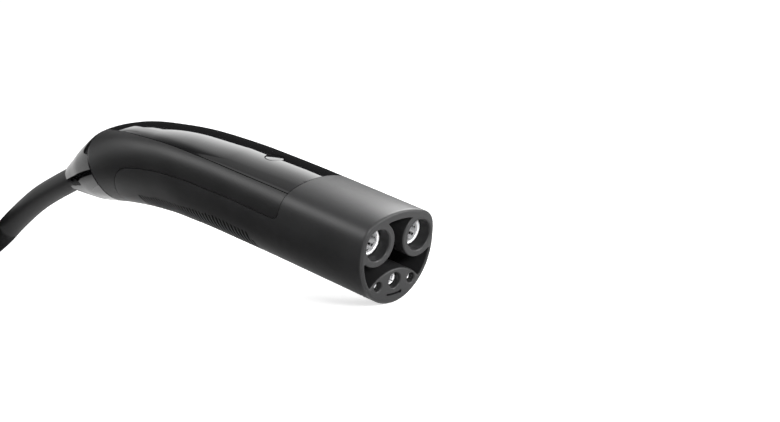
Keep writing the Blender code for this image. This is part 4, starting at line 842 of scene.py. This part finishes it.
skin_stops = stops(0.0, (BARREL_END, 20 * mm), (CAP_JOINT + 8 * mm, 4 * mm))
under_cover = lofted("under_cover", skin(skin_stops, COVER_THICKNESS + GAP, COVER_POINTS))
recess = cut(slab("recess", cover_outline(GAP), COVER_LOW, COVER_HIGH, (0, 1)), under_cover)
shell_mesh = cut(outer_mesh, upper_keep, operation="INTERSECT")
shell_mesh = cut(shell_mesh, inner_space, recess, button_hole(BUTTON_FLANGE))
piece("upper_shell", shell_mesh, MATTE, ("upper_housing",))

# %% The glossy strip
cover_underside = lofted("cover_underside", skin(skin_stops, COVER_THICKNESS, COVER_POINTS))
cover_keep = slab("cover_keep", cover_outline(0.0), COVER_LOW, COVER_HIGH, (0, 1))
strip_mesh = cut(outer_mesh, cover_keep, upper_keep, operation="INTERSECT")
strip_mesh = cut(strip_mesh, cover_underside, button_hole(BUTTON_RADIUS))
piece("gloss_strip", strip_mesh, GLOSS, ("top_cover",))

# %% [markdown]
# ## The rear cap
# A polished cap closes the handle's rear and narrows to the cable like a strain relief. It is one loft that
# goes back along the outside, rolls over at the rim and comes forward again inside, so it is closed with
# no cut at all.

# %% The rear cap
CAP_WALL, CAP_LIP, LIP_INSET, LIP_THICK = 2.4 * mm, 8 * mm, 3.3 * mm, 1.5 * mm
RIM, CAP_EDGE, RIM_SHARE = 0.7 * mm, 0.3 * mm, 0.8
OUTLET_RADIUS, OUTLET_RISE, OUTLET_START = CABLE_RADIUS + 0.25 * mm, 1.5 * mm, 220 * mm
HOLLOW_END = 214 * mm


def outlet_ring(distance):
    """A round ring on the cable's axis inside the cap."""
    angle = circle(RING_POINTS)[None]
    above = OUTLET_RISE + OUTLET_RADIUS * np.cos(angle)
    return on_spine(np.array([[distance]]), OUTLET_RADIUS * np.sin(angle), above)[0]


front, rim_start = CAP_JOINT + GAP / 2, CAP_END - RIM
edge_turn = np.linspace(0, math.pi / 2, 5)
cap_rings = []
for turn in edge_turn[::-1]:
    cap_rings += list(skin(front + CAP_EDGE * (1 - math.sin(turn)), CAP_EDGE * (1 - math.cos(turn))))
cap_rings += list(skin(stops(front + CAP_EDGE, (rim_start, 0.8 * mm))[1:]))
for turn in edge_turn[1:]:
    cap_rings += list(skin(rim_start + RIM * math.sin(turn), RIM * (1 - math.cos(turn)) * RIM_SHARE))
cap_rings += [outlet_ring(CAP_END - 0.1 * mm), outlet_ring(OUTLET_START)]
cap_rings += list(skin(stops(CAP_JOINT + 2 * mm, (HOLLOW_END, 3 * mm))[::-1], CAP_WALL))
lip_stops = [CAP_JOINT + 1 * mm, CAP_JOINT - CAP_LIP, CAP_JOINT - CAP_LIP, front]
cap_rings += list(skin(lip_stops, [LIP_INSET + LIP_THICK, LIP_INSET + LIP_THICK, LIP_INSET, LIP_INSET]))
piece("gloss_cap", lofted("gloss_cap", cap_rings, wrap=True), GLOSS, ("rear_cap",))

# %% [markdown]
# ## The release button
# The button is a turned piece: a flat top with a rounded edge, a flange that keeps it in, and a stem that
# meets the switch. A turned piece needs only its profile.

# %% The button
BUTTON_EDGE, FLANGE_THICK, STEM_RADIUS, AXIS_RADIUS = 0.5 * mm, 1.0 * mm, 1.6 * mm, 0.2 * mm
PLUNGER_TOP = 9.9 * mm


def roof_height(across):
    """Height of the arched roof at the button, this far from its middle."""
    return column(BUTTON_X, 2) - ROOF_RADIUS + math.sqrt(ROOF_RADIUS**2 - across**2)


button_top = roof_height(BUTTON_RADIUS)
flange_top = roof_height(BUTTON_FLANGE) - COVER_THICKNESS - GAP
profile = [(button_top, AXIS_RADIUS)]
for turn in np.linspace(0, math.pi / 2, 7):
    height = button_top - BUTTON_EDGE * (1 - math.cos(turn))
    profile.append((height, BUTTON_RADIUS - BUTTON_EDGE * (1 - math.sin(turn))))
profile += [(flange_top, radius) for radius in (BUTTON_RADIUS, BUTTON_FLANGE)]
profile += [(flange_top - FLANGE_THICK, radius) for radius in (BUTTON_FLANGE, STEM_RADIUS)]
profile += [(PLUNGER_TOP + GAP, radius) for radius in (STEM_RADIUS, AXIS_RADIUS)]
button_mesh = turned("button_cap", profile, 64, (-BUTTON_X, 0.0), upright=True)
piece("button_cap", button_mesh, GLOSS, ("release_button",), body="button")

# %% [markdown]
# ## The contacts
# A power contact is a turned, silver-plated copper sleeve whose front is slotted into springy fingers. One
# finger is made as a mesh: its rounded profile swept over its share of the circle, less half a gap at each
# side. Geometry Nodes then set the fingers round the axis, which is how the count can change with no
# drawing. The body behind them is turned, and so is the closed ring before the power contacts' fingers.

# %% A tree that sets copies round the contact's axis
around, given = new_tree("fingers_round_axis", {"Count": "Int"})
seeds = new_node(around, "GeometryNodePoints", {"Count": given["Count"]})
index = new_node(around, "GeometryNodeInputIndex").outputs[0]
share_of_turn = arithmetic(around, "DIVIDE", index, given["Count"])
turn_by = new_node(around, "ShaderNodeCombineXYZ", {
    "X": arithmetic(around, "MULTIPLY", share_of_turn, math.tau),
})
copies = new_node(around, "GeometryNodeInstanceOnPoints", {
    "Points": seeds.outputs[0], "Instance": given["Geometry"], "Rotation": turn_by.outputs[0],
})
end_tree(around, copies.outputs[0], given["Material"])
print("nodes in the tree:", len(around.nodes))


# %% A contact from its sizes
CRIMP_START, CRIMP_FLOOR, CRIMP_END = 50 * mm, 51.5 * mm, 62 * mm
HAIR, CORE, FINGER_OVERLAP = 0.02 * mm, 0.05 * mm, 0.2 * mm


def finger(profile, count, gap):
    """One spring finger: a closed (depth, radius) profile swept over its share of the circle."""
    half = math.pi / count
    rings = []
    for t in np.linspace(-1, 1, 9):
        ring = []
        for depth, radius in profile:
            turn = t * (half - math.asin(gap / 2 / radius))
            ring.append((-depth, radius * math.sin(turn), radius * math.cos(turn)))
        rings.append(ring)
    return lofted("finger", rings)


def rounded_tip(tip, bore, outer, end, groove=None):
    """The closed profile of a finger: bore side, rounded tip, outer side with the spring ring's groove."""
    lip = (outer - bore) / 2
    points = [(end, bore + HAIR)]
    for t in np.linspace(0, math.pi, 9):
        points.append((tip + lip - lip * math.sin(t), bore + lip - lip * math.cos(t)))
    if groove:
        depth, half, floor = groove
        before, after = depth - half, depth + half
        points += [(before, outer), (before, floor), (after, floor), (after, outer)]
    return points + [(end, outer - HAIR)]


def contact(
    name, stands_for, y, z, tip, bore, outer, finger_end, count, gap, bore_depth, shank, crimp, crimp_bore,
    groove=None, front_ring=0.0,
):
    """Fingers, the turned body behind them and, on the power contacts, a closed ring at their tips."""
    one = finger(rounded_tip(tip, bore, outer, finger_end + FINGER_OVERLAP, groove), count, gap)
    meshes = [run_tree(one, around, {"Count": count, "Material": SILVER})]
    flange = outer + FLANGE_PROUD
    meshes.append(turned("body", [
        (bore_depth, CORE), (bore_depth, bore), (finger_end, bore), (finger_end, outer),
        (FLANGE_FRONT, outer), (FLANGE_FRONT, flange), (FLANGE_BACK, flange), (FLANGE_BACK, shank),
        (CRIMP_START, shank), (CRIMP_START, crimp), (CRIMP_END, crimp), (CRIMP_END, crimp_bore),
        (CRIMP_FLOOR, crimp_bore), (CRIMP_FLOOR, CORE),
    ]))
    if front_ring:
        profile = rounded_tip(tip - front_ring, bore, outer, tip + (outer - bore) / 2)
        meshes.append(turned("front_ring", profile, wrap=True))
    whole = joined(meshes)
    whole.transform(Matrix.Translation((0.0, y, z)))
    piece(name, whole, SILVER, (stands_for,))


# %% The five contacts
BORE_SHARE = 0.66
power = dict(
    tip=6.8 * mm, bore=5.2 * mm, outer=6.75 * mm, finger_end=21 * mm, count=10, gap=1.3 * mm,
    bore_depth=30 * mm, shank=5.2 * mm, crimp=4.2 * mm, crimp_bore=2.6 * mm,
    groove=(9.6 * mm, 0.65 * mm, 5.75 * mm), front_ring=1.0 * mm,
)
small = dict(finger_end=14 * mm, gap=0.4 * mm, bore_depth=20 * mm)
outer = GROUND_RADIUS - GAP
ground = dict(small, tip=3.0 * mm, bore=outer * BORE_SHARE, outer=outer, count=4)
ground.update(shank=2.7 * mm, crimp=2.7 * mm, crimp_bore=2.0 * mm)
outer = PILOT_RADIUS - GAP
signal = dict(small, tip=2.8 * mm, bore=outer * BORE_SHARE, outer=outer, count=2)
signal.update(shank=1.8 * mm, crimp=1.8 * mm, crimp_bore=1.1 * mm)

for side, label in ((-1, "left"), (1, "right")):
    contact("power_sleeve_" + label, "power_contact_" + label, side * PITCH / 2, 0.0, **power)
contact("ground_sleeve", "ground_contact", 0.0, GROUND_Z, **ground)
for side, label in ((-1, "pilot"), (1, "proximity")):
    contact(label + "_sleeve", label + "_contact", side * PILOT_Y, PILOT_Z, **signal)

# %% [markdown]
# ## What holds the coil, and the cable's far end
# Two woven bands hold the stored turns. The far end is made for a wall box: a nylon gland with a six-sided
# nut and a thread, then the bare leads in their lugs. The thread is a true helix: each point of a turned
# grid is raised or sunk by how far round and how far along it lies.

# %% Bands round the coil
BAND_X, BAND_WIDTH, BAND_THICK, BAND_ROUND = -381 * mm, 16 * mm, 1.2 * mm, 6.5 * mm
BAND_LOW, BAND_HIGH = 1.2 * mm, 51.8 * mm
# How far out and how wide, as shares of the band's thickness and half width.
BAND_SECTION = [(0.0, -1), (0.0, 1), (0.65, 1), (1.0, 0.94), (1.0, -0.94), (0.65, -1)]


def band(inner_y, outer_y):
    """A band round one straight run: a frame across the run, rounded as the outer turns are."""
    low_y, high_y = sorted((inner_y, outer_y))
    corners = [(high_y, BAND_HIGH, -1, -1), (low_y, BAND_HIGH, 1, -1), (low_y, BAND_LOW, 1, 1)]
    corners += [(high_y, BAND_LOW, -1, 1)]
    rings = []
    for out, wide in BAND_SECTION:
        ring = []
        for i, (y, z, in_y, in_z) in enumerate(corners):
            for turn in np.radians(np.linspace(90 * i, 90 * i + 90, 9)):
                reach = BAND_ROUND + out * BAND_THICK
                across = y + in_y * BAND_ROUND + reach * math.cos(turn)
                above = z + in_z * BAND_ROUND + reach * math.sin(turn)
                ring.append((BAND_X + wide * BAND_WIDTH / 2, across, above))
        rings.append(ring)
    return lofted("band", rings, wrap=True)


coil_bands = []
for i, edges in enumerate(((-19.05 * mm, 6.55 * mm), (-80.95 * mm, -106.55 * mm)), 1):
    label, tie = "coil_band_%d" % i, "coil_tie_%d" % i
    coil_bands.append(piece(label, band(*edges), BAND, (tie,), place=HERE))

# %% The gland
NUT_LENGTH, NUT_ACROSS, NUT_CORNER, BODY_LENGTH = 14 * mm, 26 * mm, 14.6 * mm, 16 * mm
BORE, NUT_SIDES, THREAD_SIDES = CABLE_RADIUS + GAP, 96, 72
THREAD_RADIUS, THREAD_PITCH, THREAD_DEPTH, THREAD_STEP = 11 * mm, 1.5 * mm, 0.7 * mm, 0.25 * mm
AT_GLAND = Matrix.Translation((GLAND_X * mm, FAR_Y * mm, GLAND_HIGH * mm))
BEHIND_NUT = AT_GLAND @ Matrix.Translation((-NUT_LENGTH - GAP, 0.0, 0.0))

# The nut is six-sided, its corners turned down to a round.
nut_angle = circle(NUT_SIDES)
flat = NUT_ACROSS / 2 / np.cos((nut_angle + math.pi / 6) % (math.pi / 3) - math.pi / 6)
nut = np.minimum(flat, NUT_CORNER)
nut_rings = [(0.0, BORE), (0.0, 9 * mm), (3 * mm, 12.2 * mm), (3.6 * mm, np.minimum(nut, 13.2 * mm))]
nut_rings += [(4.6 * mm, nut), (13.2 * mm, nut)]
nut_rings += [(NUT_LENGTH, np.minimum(nut, 13.4 * mm)), (NUT_LENGTH, BORE)]
nut_mesh = turned("gland_cap", nut_rings, NUT_SIDES, wrap=True)
gland_cap = piece("gland_cap", nut_mesh, GLAND, ("gland_nut",), place=AT_GLAND)

thread_angle = circle(THREAD_SIDES)
thread_rings = [(0.0, BORE)]
for back in stops(0.0, (BODY_LENGTH, THREAD_STEP)):
    wave = (back / THREAD_PITCH + thread_angle / math.tau) % 1.0
    fade = smooth_step((back - 2 * mm) / (1 * mm)) * smooth_step((BODY_LENGTH - back) / (0.6 * mm))
    thread_rings.append((back, THREAD_RADIUS - THREAD_DEPTH * fade * np.abs(2 * wave - 1)))
thread_rings.append((BODY_LENGTH, BORE))
thread_mesh = turned("gland_thread", thread_rings, THREAD_SIDES, wrap=True)
gland_thread = piece("gland_thread", thread_mesh, GLAND, ("gland_body",), place=BEHIND_NUT)

# %% [markdown]
# ## The pieces on the cable
# The cable is 4.8 m long, 12.5 mm thick and stiff. It leaves the rear cap, is coiled, and has a fitting on
# its far end. A list gathers the pieces that sit on it.

on_the_cable = coil_bands + [gland_cap, gland_thread]
on_the_cable += ["lead_line_1", "lead_line_2", "lead_ground", "lug_line_1", "lug_line_2", "lug_ground"]

# %% [markdown]
# ## Floor, background and lights
# The picture was taken on white. The world is white to the camera, in reflections and through glass, and
# softer as a light. The floor glows a little for those same rays, so that it reads white and still keeps
# the plug's shadow.

# %% World and floor
def light_path_sum(tree):
    """One where a ray comes from the camera, a reflection or glass, and zero for plain light."""
    path = new_node(tree, "ShaderNodeLightPath").outputs
    total = arithmetic(tree, "MAXIMUM", path["Is Camera Ray"], path["Is Glossy Ray"])
    return arithmetic(tree, "MAXIMUM", total, path["Is Transmission Ray"])


WHITE = (1.0, 1.0, 1.0, 1.0)
PLAIN_LIGHT, FLOOR_GLOW, FLOOR_REACH = 0.45, 0.66, 6
world = bpy.data.worlds.new("studio")
world.use_nodes = True
bpy.context.scene.world = world
sky = world.node_tree
strength = arithmetic(sky, "MULTIPLY_ADD", light_path_sum(sky), 1.0 - PLAIN_LIGHT, PLAIN_LIGHT)
feed(sky, sky.nodes["Background"], {"Color": WHITE, "Strength": strength})

floor_mesh = bpy.data.meshes.new("floor")
corners = [(FLOOR_REACH * x, FLOOR_REACH * y, 0) for x, y in ((-1, -1), (1, -1), (1, 1), (-1, 1))]
floor_mesh.from_pydata(corners, [], [(0, 1, 2, 3)])
pale, tree = new_material("pale_floor")
feed(tree, tree.nodes["Principled BSDF"], {
    "Base Color": (0.86, 0.86, 0.86, 1.0),
    "Roughness": 0.9,
    "Specular IOR Level": 0.0,
    "Emission Color": WHITE,
    "Emission Strength": arithmetic(tree, "MULTIPLY", light_path_sum(tree), FLOOR_GLOW),
})
floor_mesh.materials.append(pale)
in_scene("floor", floor_mesh)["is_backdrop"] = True
print("plain light", PLAIN_LIGHT, "and a floor", 2 * FLOOR_REACH, "m wide")

# %% [markdown]
# Polished black plastic shows nothing but its surroundings. Cards that only reflections see stand where a
# studio's screens stand: black ones low down, glowing ones above them that fade with height. Most cards are
# a strip of a sphere round the plug, and some are flat sheets. An attribute on a card's points holds its
# brightness.

# %% Soft lights
def soft_light(name, place, aim, size, power):
    data = bpy.data.lights.new(name, "AREA")
    data.shape = "RECTANGLE"
    data.size, data.size_y = size
    data.energy = power
    made = in_scene(name, data)
    made.location = place
    made.rotation_euler = (Vector(aim) - Vector(place)).to_track_quat("-Z", "Y").to_euler()
    print(name, power, "W")


soft_light("top_light", (-0.3, 0.2, 1.5), (0.0, 0.0, 0.0), (1.2, 1.0), 12)
soft_light("front_light", (1.1, 0.8, 0.4), (0.1, 0.0, 0.03), (0.6, 0.5), 14)
soft_light("socket_light", (1.3, -0.35, 0.45), (0.11, 0.0, 0.04), (0.3, 0.3), 14)

# %% Helpers for reflection cards
card_paint, tree = new_material("card_glow")
tree.nodes.remove(tree.nodes["Principled BSDF"])
level = new_node(tree, "ShaderNodeAttribute")
level.attribute_name = "glow"
emission = new_node(tree, "ShaderNodeEmission", {"Strength": level.outputs["Fac"]})
feed(tree, tree.nodes["Material Output"], {"Surface": emission.outputs[0]})
CARD_CENTRE, CARD_COLUMNS = (-0.02, 0.0, 0.06), 25


def card(name, grid, glows):
    """A sheet through a grid of points, with the brightness at each of them."""
    rows, columns = grid.shape[:2]
    faces = []
    for i in range(rows - 1):
        for j in range(columns - 1):
            corner = i * columns + j
            faces.append((corner, corner + columns, corner + columns + 1, corner + 1))
    mesh = bpy.data.meshes.new(name)
    mesh.from_pydata(grid.reshape(-1, 3).tolist(), [], faces)
    level = mesh.attributes.new("glow", "FLOAT", "POINT")
    level.data.foreach_set("value", np.broadcast_to(glows, (rows, columns)).ravel().astype(np.float32))
    mesh.materials.append(card_paint)
    made = in_scene(name, mesh)
    made.visible_camera = False
    made.visible_diffuse = False
    made.visible_shadow = False
    made.visible_transmission = False
    made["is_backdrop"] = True
    print(name, len(faces), "faces")


def sky_card(name, directions, elevations, glows, gains=(1.0, 1.0), distance=1.5, centre=CARD_CENTRE):
    """A strip of a sphere: a brightness at each elevation, times a gain that changes with the direction."""
    turns = np.radians(np.linspace(*directions, CARD_COLUMNS))[:, None]
    ways_along = np.linspace(0, 1, CARD_COLUMNS)
    gain = np.interp(ways_along, np.linspace(0, 1, len(gains)), gains)[:, None]
    rise = np.radians(elevations)[None, :]
    ways = (np.cos(turns) * np.cos(rise), np.sin(turns) * np.cos(rise), np.sin(rise))
    grid = np.array(centre) + distance * np.stack(np.broadcast_arrays(*ways), -1)
    card(name, grid, gain * np.array(glows))


def flat_card(name, corner, along, across, glows):
    """A flat sheet from a corner; its brightness changes along its length."""
    u = np.linspace(0, 1, len(glows))[None, :, None]
    v = np.linspace(0, 1, 2)[:, None, None]
    card(name, np.array(corner) + u * np.array(along) + v * np.array(across), glows)


# %% The reflection cards
BACK_GAINS = (1.0, 1.0, 1.0, 1.0, 1.0, 1.0, 1.0, 0.9, 0.3, 0.15, 0.15)
SIDE_GAINS = (0.15, 0.2, 1.25, 1.3, 1.2, 1.0, 1.0)
sky_card("low_back_card", (70, 182), (-2, 29.5), (0.035, 0.035))
back_glows = (3.7, 2.9, 1.8, 1.2, 0.5, 0.3)
sky_card("bright_back_card", (70, 182), (29.5, 37, 44, 50, 60, 85), back_glows, BACK_GAINS)
sky_card("rear_tip_card", (149, 159), (23, 36), (2.6, 2.6), (1.0, 0.8, 0.2), 1.4)
sky_card("low_side_card", (182, 300), (-4, 8), (0.0, 0.0))
side_glows = (0.2, 2.0, 4.5, 4.5, 2.2, 0.4, 0.2)
sky_card("bright_side_card", (182, 300), (8, 16, 24, 40, 52, 62, 85), side_glows, SIDE_GAINS)
sky_card("near_edge_card", (189, 214), (46, 68), (0.9, 1.1), distance=1.4)
sky_card("roof_card", (140, 192), (57, 88), (0.62, 0.5), distance=1.45)
floor_glows = (0, 0, 0, 0, 0, 0, 0.05, 0.8)
flat_card("floor_card", (0.10, -0.4, 0.002), (0.0, 0.42, 0.0), (-0.23, 0.0, 0.0), floor_glows)
flat_card("far_floor_card", (-0.13, -1.2, 0.002), (-1.3, 0.0, 0.0), (0.0, 1.16, 0.0), (0.0, 0.0))
flat_card("cable_floor_card", (-0.18, -0.1, 0.003), (-0.35, 0.0, 0.0), (0.0, 0.4, 0.0), (0.1, 0.2))
flat_card("nose_card", (-0.065, 0.12, 0.26), (0.22, 0.0, 0.0), (0.0, 0.14, -0.10), (0.0, 9.0, 18.0, 18.0))
cap_glows = (1.6, 1.2, 0.5, 0.0, 0.0, 1.1, 1.0)
sky_card("cap_card", (140, 218), (-60, -30, -19, -18.5, -9.5, -9, 25), cap_glows, distance=0.08,
         centre=(-0.105, -0.01, 0.05))

# %% [markdown]
# ## Size
# The dressed plug must stay as large as the imported model. The growth of its box over the imported one is
# printed in millimetres, at the low and the high corner.

# %% Write the sizes and finish
dressed_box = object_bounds()
growth = [[round(1000 * (b - a), 2) for a, b in zip(*pair)] for pair in zip(cad_box, dressed_box)]
print("growth in mm:", growth)
